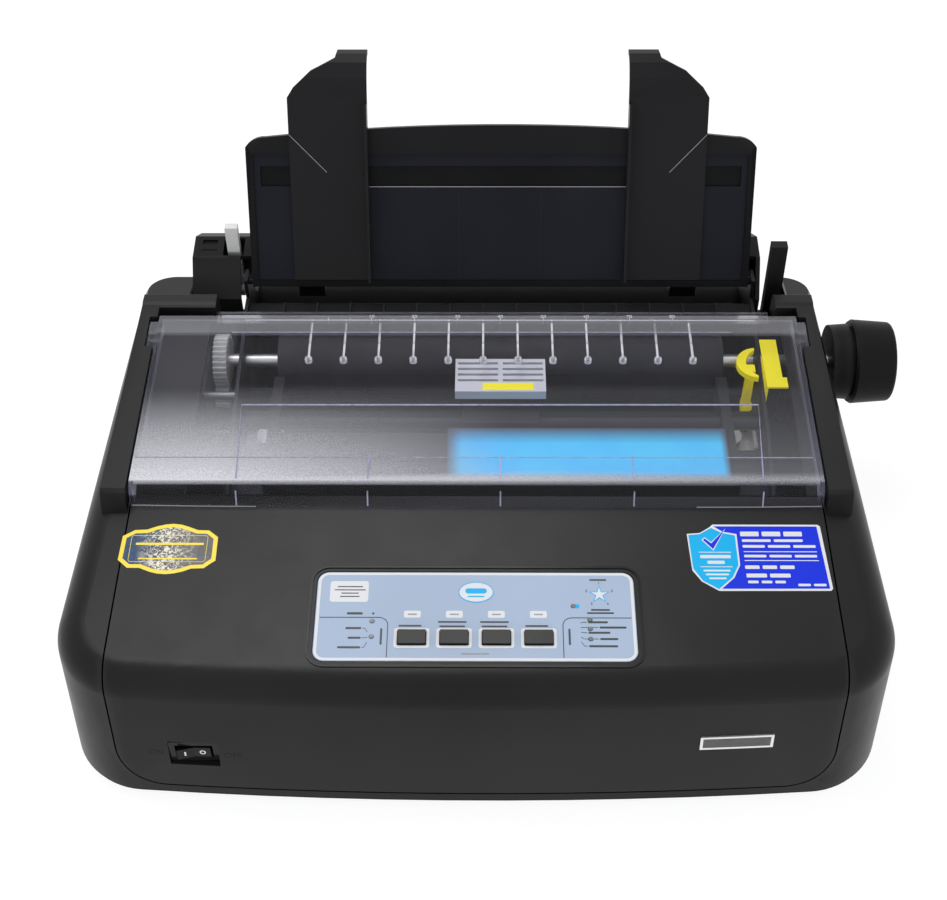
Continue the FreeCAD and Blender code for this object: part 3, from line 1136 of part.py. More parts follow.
# The curled top of an edge guide, as shares of its run to the back and of its height.
CURL_SHARES = [(0, 0), (0.08, 0.37), (0.3, 0.66), (0.64, 0.85), (1, 0.9)]
CURL_SKIN_SHARES = [(1.14, 1), (0.72, 0.94), (0.34, 0.76), (0.1, 0.42), (0, 0)]
# The rounded outer corner of an edge guide, as shares of its width and of the corner's height.
CORNER_SHARES = [(0.72, -0.6), (0.6, 0.15), (0.3, 0.42), (0.08, 0.8)]


def edge_guide(label, start, outer_side):
    """An upright guide that slides along the panel, its top curled back."""
    body = new_body(label + "_form")
    face = "-edge_gap - edge_thick"
    curl = [("edge_curl_back * %s - edge_gap" % back, "edge_long - edge_curl * %s" % (1 - up))
            for back, up in CURL_SHARES]
    skin = [("edge_curl_back * %s - edge_gap - edge_thick" % back, "edge_long - edge_curl * %s" % (1 - up))
            for back, up in CURL_SKIN_SHARES]
    foot = [(face, "edge_low"), ("-edge_gap", "edge_low")]
    pad(body, "YZ_Plane", foot + curl + skin, "edge_wide", lift=start)
    end = start + " + edge_wide"
    inner_x, outer_x = (start, end) if outer_side > 0 else (end, start)
    out, back = ("+", "-") if outer_side > 0 else ("-", "+")
    corner = [("%s %s cut_past" % (outer_x, out), "edge_long - edge_corner * 1.1"),
              ("%s %s cut_past" % (outer_x, out), "edge_long + edge_curl_back")]
    corner += [("%s %s edge_wide * %s" % (outer_x, back, across_share),
                "edge_long - edge_corner * %s" % down_share)
               for across_share, down_share in CORNER_SHARES]
    pocket(body, "XZ_Plane", corner, "edge_curl_back * 6", middle=True)
    lug_x = "%s + edge_wide / 2 - edge_lug_wide / 2" % start
    lug = span((lug_x, lug_x + " + edge_lug_wide"),
               ("-edge_gap - join_lap", "guide_sunk + channel_sunk - edge_gap"),
               ("channel_low + edge_gap", "channel_low + channel_tall - edge_gap"))
    wall_x = inner_x if outer_side > 0 else inner_x + " - edge_wall_thick"
    wall = span((wall_x, wall_x + " + edge_wall_thick"), (face + " - edge_wall", face + " + join_lap / 2"),
                ("edge_low", "edge_long - edge_curl - edge_wall_drop"))
    return piece(joined(body, lug, wall), label, (0, "guide_y", "guide_z"), tilt="-guide_tilt")


# Rear cover and levers


def rear_form():
    """The rear cover's outer form."""
    body = new_body("hood")
    pad(body, "YZ_Plane", [
        ("rear_front_y", "rear_front_z"), ("rear_top_y", "rear_top_z"), ("rear_crown_y", "rear_crown_z"),
        ("rear_back_y", "rear_back_z"), ("rear_back_y", "rear_low_z"), ("case_back_y", "rear_wall_z"),
        ("rear_seat_y", "rear_wall_z"), ("rear_front_y", "rear_front_low_z"),
    ], "rear_right_x - rear_left_x", lift="rear_left_x")
    return body


def rear_hollow():
    """The space inside the rear cover, open below."""
    body = new_body("hood_space")
    wall = "rear_wall_thick"
    low = "rear_wall_z - rear_open_drop"
    pad(body, "YZ_Plane", [
        ("rear_front_y + " + wall, "rear_front_z - rear_wall_thick * 0.4"),
        ("rear_top_y + rear_wall_thick * 0.4", "rear_top_z - " + wall),
        ("rear_crown_y - rear_wall_thick * 0.24", "rear_crown_z - " + wall),
        ("rear_back_y - " + wall, "rear_back_z - rear_wall_thick * 0.56"),
        ("rear_back_y - " + wall, low), ("rear_front_y + " + wall, low),
    ], "rear_right_x - rear_left_x - rear_wall_thick * 2", lift="rear_left_x + " + wall)
    return body


def rear_cover():
    """The hood over the tractors, with a slot for the release lever."""
    low, high = "rear_wall_z - rear_open_drop", "rear_crown_z + rear_open_drop"
    window = span(("rear_block_x", "rear_right_x - rear_wall_thick"),
                  ("rear_front_y - cut_over", "rear_window_y"), (low, "rear_crown_z + cut_over"))
    slot = span(("slot_left_x", "slot_right_x"), ("slot_front_y", "slot_back_y"), ("rear_back_z", high))
    dents = [span(("rear_left_x + dent_x", "rear_left_x + dent_x + dent_long"),
                  ("rear_top_y + " + start, "rear_top_y + %s + dent_wide" % start),
                  ("rear_crown_z - dent_deep", high)) for start in ("dent_first", "dent_second")]
    rear_way = span(("rear_left_x + rear_wall_thick", "rear_right_x - rear_wall_thick"),
                    ("case_back_y - cut_past", "rear_back_y + cut_over"), (low, "rear_low_z"))
    return piece(cut(rear_form(), rear_hollow(), window, slot, rear_way, *dents), "rear_cover")


def release_lever():
    """The white lever that frees the pressure rollers."""
    stick = span(("lever_x", "lever_x + lever_wide"),
                 ("lever_y - lever_thick / 2", "lever_y + lever_thick / 2"), ("lever_z", "lever_top_z"))
    hub = across("lever_hub_r", "lever_x", "lever_x + lever_wide", "lever_y", "lever_z")
    pin = across("lever_pin_r", "lever_x", "frame_left_x + frame_thick + shaft_past", "lever_y", "lever_z")
    piece(joined(stick, hub, pin), "release_lever")


def feed_lever():
    """The black lever that chooses loose sheets or fanfold paper."""
    body = new_body("feed_lever_form")
    half = "feed_lever_thick / 2"
    pad(body, "YZ_Plane", [
        ("feed_lever_y - " + half, "feed_lever_z"), ("feed_lever_y + " + half, "feed_lever_z"),
        ("feed_lever_y + %s + feed_lever_lean" % half, "feed_lever_top_z"),
        ("feed_lever_y - %s + feed_lever_lean * 2" % half, "feed_lever_top_z"),
    ], "feed_lever_wide", lift="feed_lever_x")
    hub = across("lever_hub_r", "feed_lever_x", "feed_lever_x + feed_lever_wide",
                 "feed_lever_y", "feed_lever_z")
    pin = across("lever_pin_r", "frame_right_x - shaft_past", "feed_lever_x + join_lap",
                 "feed_lever_y", "feed_lever_z")
    piece(joined(body, hub, pin), "feed_lever")


def head_gap_lever():
    """The yellow lever that sets the gap of the head, with a crescent finger piece."""
    stem = span(("gap_lever_x", "gap_lever_x + gap_lever_wide"),
                ("gap_lever_y - gap_lever_thick / 2", "gap_lever_y + gap_lever_thick / 2"),
                ("gap_lever_z", "gap_lever_top_z + join_lap / 2"))
    hub = across("lever_hub_r", "gap_lever_x", "gap_lever_x + gap_lever_wide", "gap_lever_y", "gap_lever_z")
    pin = across("lever_pin_r", "gap_lever_x", "frame_right_x + frame_thick + shaft_past",
                 "gap_lever_y", "gap_lever_z")
    middle_y = "(crescent_front_y + crescent_back_y) / 2"
    outer_r = "(crescent_back_y - crescent_front_y) / 2"
    disc = rod(outer_r, "crescent_thick", ("crescent_left_x + " + outer_r, middle_y, "gap_lever_top_z"))
    bite = rod(outer_r, "crescent_thick * 3", ("crescent_left_x + %s + crescent_body" % outer_r, middle_y,
                                               "gap_lever_top_z - crescent_thick"))
    half = span(("crescent_left_x - cut_past", "crescent_right_x"),
                ("crescent_front_y - cut_past", "crescent_back_y + cut_past"),
                ("gap_lever_top_z", "gap_lever_top_z + crescent_thick"))
    bridge = span(("crescent_left_x + gap_bridge_drop", "gap_lever_x + gap_lever_wide"),
                  ("gap_lever_y - gap_lever_thick / 2", "gap_lever_y + gap_lever_thick / 2"),
                  ("gap_lever_top_z - gap_bridge_drop", "gap_lever_top_z + join_lap / 2"))
    piece(joined(stem, hub, pin, bridge, cut(common(disc, half), bite)), "head_gap_lever")


def gap_scale():
    """The yellow strip beside the lever, on a web against the right frame."""
    face = "frame_right_x + frame_thick"
    web = span((face, face + " + scale_web_thick"), ("scale_web_front_y", "scale_web_back_y"),
               ("scale_web_low_z", "scale_z"))
    flat = ("scale_z", "scale_z + scale_thick")
    strip = span((face, "scale_right_x"), ("scale_front_y", "scale_back_y"), flat)
    foot = span((face, "scale_foot_x"), ("scale_front_y", "scale_foot_y"), flat)
    piece(joined(web, strip, foot), "gap_scale")


# Tractors


def tractors():
    """Two pin tractors on a turning shaft and a fixed rail."""
    for label, middle in (("left_tractor", "tractor_left_x"), ("right_tractor", "tractor_right_x")):
        left, right = middle + " - tractor_wide / 2", middle + " + tractor_wide / 2"
        case = span((left, right), ("tractor_y - tractor_front", "tractor_y + tractor_deep / 2"),
                    ("tractor_z - tractor_tall / 2", "tractor_z + tractor_tall / 2"))
        pins = [rod("tractor_pin_r", "tractor_pin_tall + join_lap",
                    (middle, "tractor_y + tractor_pin_pitch * %d" % n,
                     "tractor_z + tractor_tall / 2 - join_lap"))
                for n in (-1, 0, 1)]
        past_left, past_right = left + " - cut_past", right + " + cut_past"
        bore = across("tractor_shaft_r + running_gap", past_left, past_right, "tractor_y", "tractor_z")
        rail = across("tractor_rail_r + running_gap", past_left, past_right,
                      "tractor_y + tractor_rail_back", "tractor_z + tractor_rail_up")
        piece(cut(joined(case, *pins), bore, rail), label)
    piece(grouped(frame_rod("tractor_shaft_r", "tractor_y", "tractor_z")), "tractor_shaft")
    piece(grouped(frame_rod("tractor_rail_r", "tractor_y + tractor_rail_back", "tractor_z + tractor_rail_up")),
          "tractor_rail")


# Control panel and switch


def lamp_spots(above):
    """Where the small lamps stand in the panel."""
    spots = [deck_spot("panel_half * %s" % x, "panel_low + panel_tall * %s" % y, above)
             for x, y in PANEL_LAMPS_SHARES]
    return spots + [deck_spot("lamp_x", "lamp_up", above)]


def control_panel():
    """The panel plate, its lamps, its four buttons and the board behind them."""
    half = "panel_half - panel_slack"
    plate = rounded_panel("panel_plate", half, "panel_low + panel_slack",
                          "panel_low + panel_tall - panel_slack", "-panel_sunk", "panel_thick - panel_sunk")
    holes = [button_hole(slot, "button_gap") for slot in BUTTON_SLOTS]
    ways = [rod("lamp_r + button_gap / 2", "case_wall * 3", spot, tilt="deck_tilt")
            for spot in lamp_spots("-case_wall * 2")]
    piece(cut(plate, *holes, *ways), "control_panel")
    lamps = [rod("lamp_r", "key_board_drop + panel_thick + lamp_proud - panel_sunk - air_gap", spot,
                 tilt="deck_tilt") for spot in lamp_spots("-key_board_drop + air_gap")]
    piece(grouped(*lamps), "panel_lamps")
    for number, slot in enumerate(BUTTON_SLOTS, start=1):
        middle = "button_pitch * %s" % slot
        cap = deck_block((middle + " - button_wide / 2", middle + " + button_wide / 2"),
                         ("button_up - button_deep / 2", "button_up + button_deep / 2"),
                         ("-case_wall * 1.6", "button_proud - panel_sunk"))
        stem = deck_block((middle + " - button_stem / 2", middle + " + button_stem / 2"),
                          ("button_up - button_stem / 2", "button_up + button_stem / 2"),
                          ("-key_board_drop + button_travel + air_gap", "-case_wall"))
        piece(joined(cap, stem), "button_%d" % number)
    board = deck_block(("-panel_half * 0.8", "panel_half * 0.9"),
                       ("panel_low + key_board_low", "panel_low + panel_tall - key_board_top"),
                       ("-key_board_drop - key_board_thick", "-key_board_drop"))
    posts = [deck_block(("%s - key_post_r" % x, "%s + key_post_r" % x),
                        ("%s - key_post_r" % y, "%s + key_post_r" % y),
                        ("-key_board_drop - join_lap / 2", "-case_wall"))
             for x in ("-panel_half * 0.74", "panel_half * 0.84")
             for y in ("panel_low + key_post_low", "panel_low + panel_tall - key_post_top")]
    piece(joined(board, *posts), "key_board")


def power_switch():
    """The switch's housing and the rocker that tips inside it."""
    half, tall = "switch_wide / 2 - switch_slack", "switch_tall / 2 - switch_slack"
    front = "(case_front_y + (switch_z - case_floor_z) * front_slope + front_bow * 0.45 + switch_sunk)"
    outer = span(("switch_x - (%s)" % half, "switch_x + " + half), (front, front + " + switch_deep"),
                 ("switch_z - (%s)" % tall, "switch_z + " + tall))
    inner = span(("switch_x - (%s) + switch_wall" % half, "switch_x + %s - switch_wall" % half),
                 (front + " - cut_past", front + " + rocker_deep + rocker_room"),
                 ("switch_z - (%s) + switch_wall" % tall, "switch_z + %s - switch_wall" % tall))
    pin_way = rod("rocker_pin_r + running_gap", "switch_tall - switch_slack * 2 - pin_cheek * 2",
                  ("switch_x", front + " + rocker_deep / 2", "switch_z - (%s) + pin_cheek" % tall))
    piece(cut(outer, inner, pin_way), "switch_housing")
    body = new_body("rocker_form")
    reach = "switch_wide / 2 - switch_slack - switch_wall - rocker_gap"
    pad(body, "XY_Plane", [
        ("-(%s)" % reach, "-rocker_proud"), ("0", "-rocker_dip"), (reach, "-rocker_low"),
        ("(%s) * 0.8" % reach, "rocker_deep - rocker_back"),
        ("-(%s) * 0.8" % reach, "rocker_deep - rocker_back"),
    ], "switch_tall - (switch_slack + switch_wall + rocker_gap) * 2",
        lift="-(switch_tall / 2 - switch_slack - switch_wall - rocker_gap)")
    pin_long = "(switch_tall - switch_slack * 2 - pin_cheek * 3)"
    pin = rod("rocker_pin_r", pin_long, ("0", "rocker_deep / 2", "-%s / 2" % pin_long))
    piece(joined(body, pin), "power_rocker", ("switch_x", front, "switch_z"))


# Electronics


def board_posts():
    """Where the four posts under the main board stand."""
    return [(x, y) for x in ("board_x + board_post_in", "board_x + board_long - board_post_in")
            for y in ("board_y + board_post_in", "board_y + board_deep - board_post_in")]


def electronics():
    """The main board, its chips, the transformer, the mains inlet and the data port."""
    piece(grouped(span(("board_x", "board_x + board_long"), ("board_y", "board_y + board_deep"),
                       ("board_z", "board_z + board_thick"))), "main_board")
    chips = [span(("board_x + board_long * %s" % x, "board_x + board_long * %s" % (x + w)),
                  ("board_y + board_deep * %s" % y, "board_y + board_deep * %s" % (y + d)),
                  ("board_z + board_thick", "board_z + board_thick + chip_tall"))
             for x, y, w, d in CHIP_SHARES]
    piece(grouped(*chips), "board_chips")
    core = span(("core_x", "core_x + core_wide"), ("core_y", "core_y + core_deep"),
                ("case_floor_z", "case_floor_z + core_tall"))
    coil = span(("core_x + winding_in", "core_x + core_wide - winding_in"),
                ("core_y - winding_out", "core_y + core_deep + winding_out"),
                ("case_floor_z + winding_low", "case_floor_z + core_tall - winding_low"))
    piece(joined(core, coil), "transformer")
    body = span(("inlet_x - inlet_wide / 2", "inlet_x + inlet_wide / 2"),
                ("case_back_y - inlet_deep", "case_back_y - inlet_flange / 2"),
                ("inlet_z - inlet_tall / 2", "inlet_z + inlet_tall / 2"))
    well = span(("inlet_x - inlet_wide / 2 + inlet_wall", "inlet_x + inlet_wide / 2 - inlet_wall"),
                ("case_back_y - inlet_deep + inlet_back", "case_back_y + cut_past"),
                ("inlet_z - inlet_tall / 2 + inlet_wall", "inlet_z + inlet_tall / 2 - inlet_wall"))
    blades = [span(("%s - blade_half" % x, "%s + blade_half" % x),
                   ("case_back_y - inlet_deep + inlet_back - join_lap",
                    "case_back_y - inlet_deep + inlet_back + blade_long"),
                   ("%s - blade_half_tall" % z, "%s + blade_half_tall" % z))
              for x, z in (("inlet_x - blade_out", "inlet_z - blade_low"),
                           ("inlet_x + blade_out", "inlet_z - blade_low"),
                           ("inlet_x", "inlet_z + blade_high"))]
    piece(joined(cut(body, well), *blades), "power_inlet")
    shell = span(("port_x - port_long / 2", "port_x + port_long / 2"),
                 ("case_back_y - port_deep", "case_back_y - inlet_flange / 2"),
                 ("port_z - port_tall / 2", "port_z + port_tall / 2"))
    hollow = span(("port_x - port_long / 2 + port_shell", "port_x + port_long / 2 - port_shell"),
                  ("case_back_y - port_deep + port_back", "case_back_y + cut_past"),
                  ("port_z - port_tall / 2 + port_shell", "port_z + port_tall / 2 - port_shell"))
    tongue = span(("port_x - port_long / 2 + tongue_side", "port_x + port_long / 2 - tongue_side"),
                  ("case_back_y - port_deep + port_back - join_lap", "case_back_y - tongue_in"),
                  ("port_z - tongue_half", "port_z + tongue_half"))
    piece(joined(cut(shell, hollow), tongue), "data_port")


CHIP_SHARES = [(0.1, 0.2, 0.2, 0.16), (0.38, 0.2, 0.2, 0.16), (0.66, 0.2, 0.12, 0.28), (0.1, 0.55, 0.08, 0.3),
               (0.26, 0.55, 0.08, 0.3), (0.45, 0.58, 0.22, 0.2), (0.76, 0.6, 0.14, 0.26)]


def build():
    """Builds every sub-part."""
    write_sheet()
    outer = case_solid("case_outer", "0")
    shell = cut(outer, case_solid("case_inner", "case_wall"))
    main_case(shell)
    front_cover(shell)
    badge_plate(outer)
    base_pan()
    feet()
    case_screws()
    smoke_cover()
    side_frames()
    platen()
    platen_knob()
    feed_gears()
    pressure_rollers()
    paper_chute()
    tear_bar()
    carriage()
    print_head()
    carriage_way()
    carriage_drive()
    ribbon()
    sheet_guide()
    edge_guide("left_edge_guide", "edge_left_x", -1)
    edge_guide("right_edge_guide", "edge_right_x", 1)
    rear_cover()
    release_lever()
    feed_lever()
    head_gap_lever()
    gap_scale()
    tractors()
    control_panel()
    power_switch()
    electronics()
    document.recompute()


def write_pieces():
    """Checks every object and every sub-part, then writes one file for each sub-part."""
    for item in document.Objects:
        if "Invalid" in item.State or "Error" in item.State:
            raise ValueError("%s is %s" % (item.Label, item.State))
    for item in PIECES:
        if item.Shape.isNull() or not item.Shape.isValid() or not item.Shape.Solids:
            raise ValueError("%s has no sound shape" % item.Label)
    os.makedirs("parts", exist_ok=True)
    for item in PIECES:
        item.Shape.exportStep("parts/%s.step" % item.Label)
        box = item.Shape.BoundBox
        print("%-18s solids %2d  x %7.1f %7.1f  y %7.1f %7.1f  z %6.1f %6.1f" % (
            item.Label, len(item.Shape.Solids), box.XMin, box.XMax, box.YMin, box.YMax, box.ZMin, box.ZMax))


build()
write_pieces()
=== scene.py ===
import math

import bmesh
import bpy
from mathutils import Matrix, Vector


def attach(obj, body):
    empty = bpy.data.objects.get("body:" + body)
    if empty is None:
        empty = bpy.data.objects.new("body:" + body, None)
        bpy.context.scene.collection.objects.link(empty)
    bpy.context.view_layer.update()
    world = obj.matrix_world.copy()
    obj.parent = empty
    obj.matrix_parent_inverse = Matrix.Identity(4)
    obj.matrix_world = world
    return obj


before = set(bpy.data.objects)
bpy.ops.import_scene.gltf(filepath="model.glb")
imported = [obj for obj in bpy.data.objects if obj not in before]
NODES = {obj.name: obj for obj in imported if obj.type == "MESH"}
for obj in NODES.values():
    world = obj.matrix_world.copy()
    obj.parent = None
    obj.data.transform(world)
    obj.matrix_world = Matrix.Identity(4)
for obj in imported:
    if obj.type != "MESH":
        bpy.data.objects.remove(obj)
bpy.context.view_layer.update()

MM = 0.001

# Millimetres of the CAD, which counts from the middle of the case's front edge. ORIGIN_X and ORIGIN_Y are
# added to such a place to count it from the frame's origin.
ORIGIN_X = -14.5
ORIGIN_Y = -173.2587
DECK_FRONT_Y = 20.0
DECK_FRONT_Z = 89.4
DECK_TILT = math.radians(5)
GUIDE_Y = 283.0
GUIDE_Z = 112.5
GUIDE_TILT = math.radians(24)
GUIDE_SUNK = 1.2
PATH_X = 13.5

# The lid's top and lip as (Y, Z) of the CAD, in millimetres
LID_FRONT = (126.5, 111.6)
LID_BACK = (248.5, 119.6)
LIP_FOOT = (117.5, 99.4)
LIP_TOP = (121.5, 108.6)

# The ribs under the lid's top, in millimetres on its plane: their depth below it, their run, half their row
LID_RIB_TOP = 2.5
LID_RIBS = (70.0, 116.0)
LID_RIB_HALF = 128.0

# Places on the lid, the ribbon's label and the gold sticker, in metres of the frame
LID_ROLL_Y = -0.0475
LID_WINDOW_FRONT_Y = 0.0200
LID_WINDOW_LEFT_X = -0.1525
LID_WINDOW_RIGHT_X = 0.1650
LID_BAND_Y = 0.0620
LABEL_LEFT_X = -0.031
LABEL_RIGHT_X = 0.1265
LABEL_FRONT_Y = -0.0285
LABEL_BACK_Y = 0.0105
STICKER_X = -0.1763

# Sockets of a colour mix
MIX_FIRST = 6
MIX_SECOND = 7
MIX_RESULT = 2


def at(x, y, z):
    """A place counted in the CAD's millimetres, as a place in the frame."""
    return Vector(((x + ORIGIN_X) * MM, (y + ORIGIN_Y) * MM, z * MM))


def deck_matrix(x=0.0, up=0.0, above=0.0):
    """A frame on the sloping deck: X to the right, Y up the slope, Z out of it."""
    y = DECK_FRONT_Y + up * math.cos(DECK_TILT) - above * math.sin(DECK_TILT)
    z = DECK_FRONT_Z + up * math.sin(DECK_TILT) + above * math.cos(DECK_TILT)
    return Matrix.Translation(at(x, y, z)) @ Matrix.Rotation(DECK_TILT, 4, "X")


def guide_matrix(x=0.0, up=0.0, forward=0.0):
    """A frame on the front face of the sheet guide: X to the right, Y up the face, Z towards the user."""
    y = GUIDE_Y + up * math.sin(GUIDE_TILT) - forward * math.cos(GUIDE_TILT)
    z = GUIDE_Z + up * math.cos(GUIDE_TILT) + forward * math.sin(GUIDE_TILT)
    return Matrix.Translation(at(x, y, z)) @ Matrix.Rotation(math.pi / 2 - GUIDE_TILT, 4, "X")


def lid_matrix():
    """A frame on the lid's top: X to the right, Y towards the hinge, Z out of it."""
    run, rise = LID_BACK[0] - LID_FRONT[0], LID_BACK[1] - LID_FRONT[1]
    return Matrix.Translation(at(0, *LID_FRONT)) @ Matrix.Rotation(math.atan2(rise, run), 4, "X")


# Materials


class Nodes:
    """A node tree, with short calls for what the materials and the world here have in common."""

    def __init__(self, owner):
        owner.use_nodes = True
        self.tree = owner.node_tree
        self.tree.nodes.clear()

    def add(self, kind, **values):
        node = self.tree.nodes.new(kind)
        for key, value in values.items():
            setattr(node, key, value)
        return node

    def link(self, source, target):
        self.tree.links.new(source, target)

    def count(self, operation, first, second):
        """A sum, a product or the like of two sockets or numbers."""
        node = self.add("ShaderNodeMath", operation=operation)
        for slot, value in enumerate((first, second)):
            if isinstance(value, (int, float)):
                node.inputs[slot].default_value = value
            else:
                self.link(value, node.inputs[slot])
        return node.outputs[0]

    def product(self, first, *others):
        """Several sockets or numbers multiplied, from the first to the last."""
        for other in others:
            first = self.count("MULTIPLY", first, other)
        return first

    def mix(self, first, second, factor):
        """A surface or a background between two others."""
        node = self.add("ShaderNodeMixShader")
        for slot, source in enumerate((factor, first, second)):
            self.link(source, node.inputs[slot])
        return node.outputs[0]

    def rays(self):
        """Whether a ray comes from the camera, and whether a surface mirrored it or let it through."""
        paths = self.add("ShaderNodeLightPath").outputs
        mirrored = self.count("MAXIMUM", paths["Is Glossy Ray"], paths["Is Transmission Ray"])
        return paths["Is Camera Ray"], mirrored


class Shader(Nodes):
    """A material's node tree."""

    def __init__(self, name):
        self.material = bpy.data.materials.new(name)
        super().__init__(self.material)
        self.out = self.add("ShaderNodeOutputMaterial")
        self.place = self.add("ShaderNodeTexCoord").outputs["Object"]

    def surface(self, colour, roughness, **sockets):
        """The main plastic, metal or rubber surface."""
        node = self.add("ShaderNodeBsdfPrincipled")
        node.inputs["Base Color"].default_value = (*colour, 1)
        node.inputs["Roughness"].default_value = roughness
        for key, value in sockets.items():
            node.inputs[key.replace("_", " ")].default_value = value
        self.link(node.outputs[0], self.out.inputs["Surface"])
        return node

    def plain(self, kind, colour):
        """A shader of one colour."""
        node = self.add(kind)
        node.inputs["Color"].default_value = (*colour, 1)
        return node.outputs[0]

    def coat(self, colour, roughness, ior):
        """A shiny coat, and how strongly it shows at the angle of view."""
        shine = self.add("ShaderNodeBsdfGlossy")
        shine.inputs["Color"].default_value = (*colour, 1)
        shine.inputs["Roughness"].default_value = roughness
        fresnel = self.add("ShaderNodeFresnel")
        fresnel.inputs["IOR"].default_value = ior
        return shine, fresnel.outputs[0]

    def noise(self, scale, detail=3.0, stretch=(1, 1, 1), distortion=0.0):
        """Noise whose scale counts features to the metre."""
        mapping = self.add("ShaderNodeMapping")
        mapping.inputs["Scale"].default_value = stretch
        self.link(self.place, mapping.inputs["Vector"])
        node = self.add("ShaderNodeTexNoise")
        node.inputs["Scale"].default_value = scale
        node.inputs["Detail"].default_value = detail
        node.inputs["Distortion"].default_value = distortion
        self.link(mapping.outputs[0], node.inputs["Vector"])
        return node.outputs["Fac"]

    def spread(self, source, low, high, start=0.3, end=0.7):
        """The source's range from start to end, spread from low to high."""
        node = self.add("ShaderNodeMapRange")
        for key, value in (("From Min", start), ("From Max", end), ("To Min", low), ("To Max", high)):
            node.inputs[key].default_value = value
        self.link(source, node.inputs["Value"])
        return node.outputs["Result"]

    def blend(self, first, second, factor):
        """A colour between two; each is a colour or a socket."""
        node = self.add("ShaderNodeMix", data_type="RGBA")
        for slot, value in ((MIX_FIRST, first), (MIX_SECOND, second)):
            if isinstance(value, tuple):
                node.inputs[slot].default_value = (*value, 1)
            else:
                self.link(value, node.inputs[slot])
        self.link(factor, node.inputs[0])
        return node.outputs[MIX_RESULT]

    def axes(self):
        """The place's X, Y and Z, in metres of the frame."""
        node = self.add("ShaderNodeSeparateXYZ")
        self.link(self.place, node.inputs[0])
        return node.outputs

    def edges(self, low=0.52, high=0.6):
        """How far a place lies on an outer edge."""
        return self.spread(self.add("ShaderNodeNewGeometry").outputs["Pointiness"], 0.0, 1.0, low, high)

    def relief(self, source, strength, depth, target):
        """Bump from a source, with its depth in metres."""
        node = self.add("ShaderNodeBump")
        node.inputs["Strength"].default_value = strength
        node.inputs["Distance"].default_value = depth
        self.link(source, node.inputs["Height"])
        self.link(node.outputs[0], target.inputs["Normal"])


def toned(colour, factor, lift=0.0):
    """A colour made darker or paler."""
    return tuple(min(1.0, channel * factor + lift) for channel in colour)


def moulded(name, colour, roughness, grain=2400.0, depth=0.00004, wear=0.5, spread=0.16, **sockets):
    """Moulded plastic: fine grain, slow colour drift, dust in places and paler edges."""
    drift_scale, dust_scale = 9.0, 55.0
    made = Shader(name)
    base = made.surface(colour, roughness, **sockets)
    drift = made.spread(made.noise(drift_scale), 0.0, 1.0)
    tone = made.blend(toned(colour, 1 - spread), toned(colour, 1 + spread, 0.004), drift)
    worn = toned(colour, 1.25, 0.02)
    rubbed = made.count("MULTIPLY", made.edges(), wear)
    made.link(made.blend(tone, worn, rubbed), base.inputs["Base Color"])
    dust = made.noise(dust_scale, 6.0)
    made.link(made.spread(dust, roughness - 0.02, roughness + 0.03), base.inputs["Roughness"])
    made.relief(made.noise(grain, 2.0), 0.25, depth, base)
    return made.material


def metal(name, colour, roughness, stretch=(1, 1, 14), spread=0.12):
    """Sheet or turned metal with fine lines of brushing."""
    brush_scale, stain_scale = 420.0, 40.0
    made = Shader(name)
    base = made.surface(colour, roughness, Metallic=1.0)
    lines = made.noise(brush_scale, 4.0, stretch)
    tone = made.blend(toned(colour, 1 - spread), toned(colour, 1 + spread), made.spread(lines, 0.0, 1.0))
    made.link(tone, base.inputs["Base Color"])
    stains = made.spread(made.noise(stain_scale), roughness - 0.08, roughness + 0.1)
    made.link(stains, base.inputs["Roughness"])
    made.relief(lines, 0.12, 0.00003, base)
    return made.material


def rubber(name, colour, roughness=0.7):
    """Soft black rubber with a fine bloom."""
    bloom_scale, patch_scale, grain_scale = 35.0, 160.0, 1600.0
    made = Shader(name)
    base = made.surface(colour, roughness)
    bloom = made.spread(made.noise(bloom_scale, 5.0), 0.0, 1.0)
    made.link(made.blend(colour, toned(colour, 1.7, 0.006), bloom), base.inputs["Base Color"])
    patches = made.spread(made.noise(patch_scale), roughness - 0.1, roughness + 0.1)
    made.link(patches, base.inputs["Roughness"])
    made.relief(made.noise(grain_scale), 0.3, 0.00004, base)
    return made.material


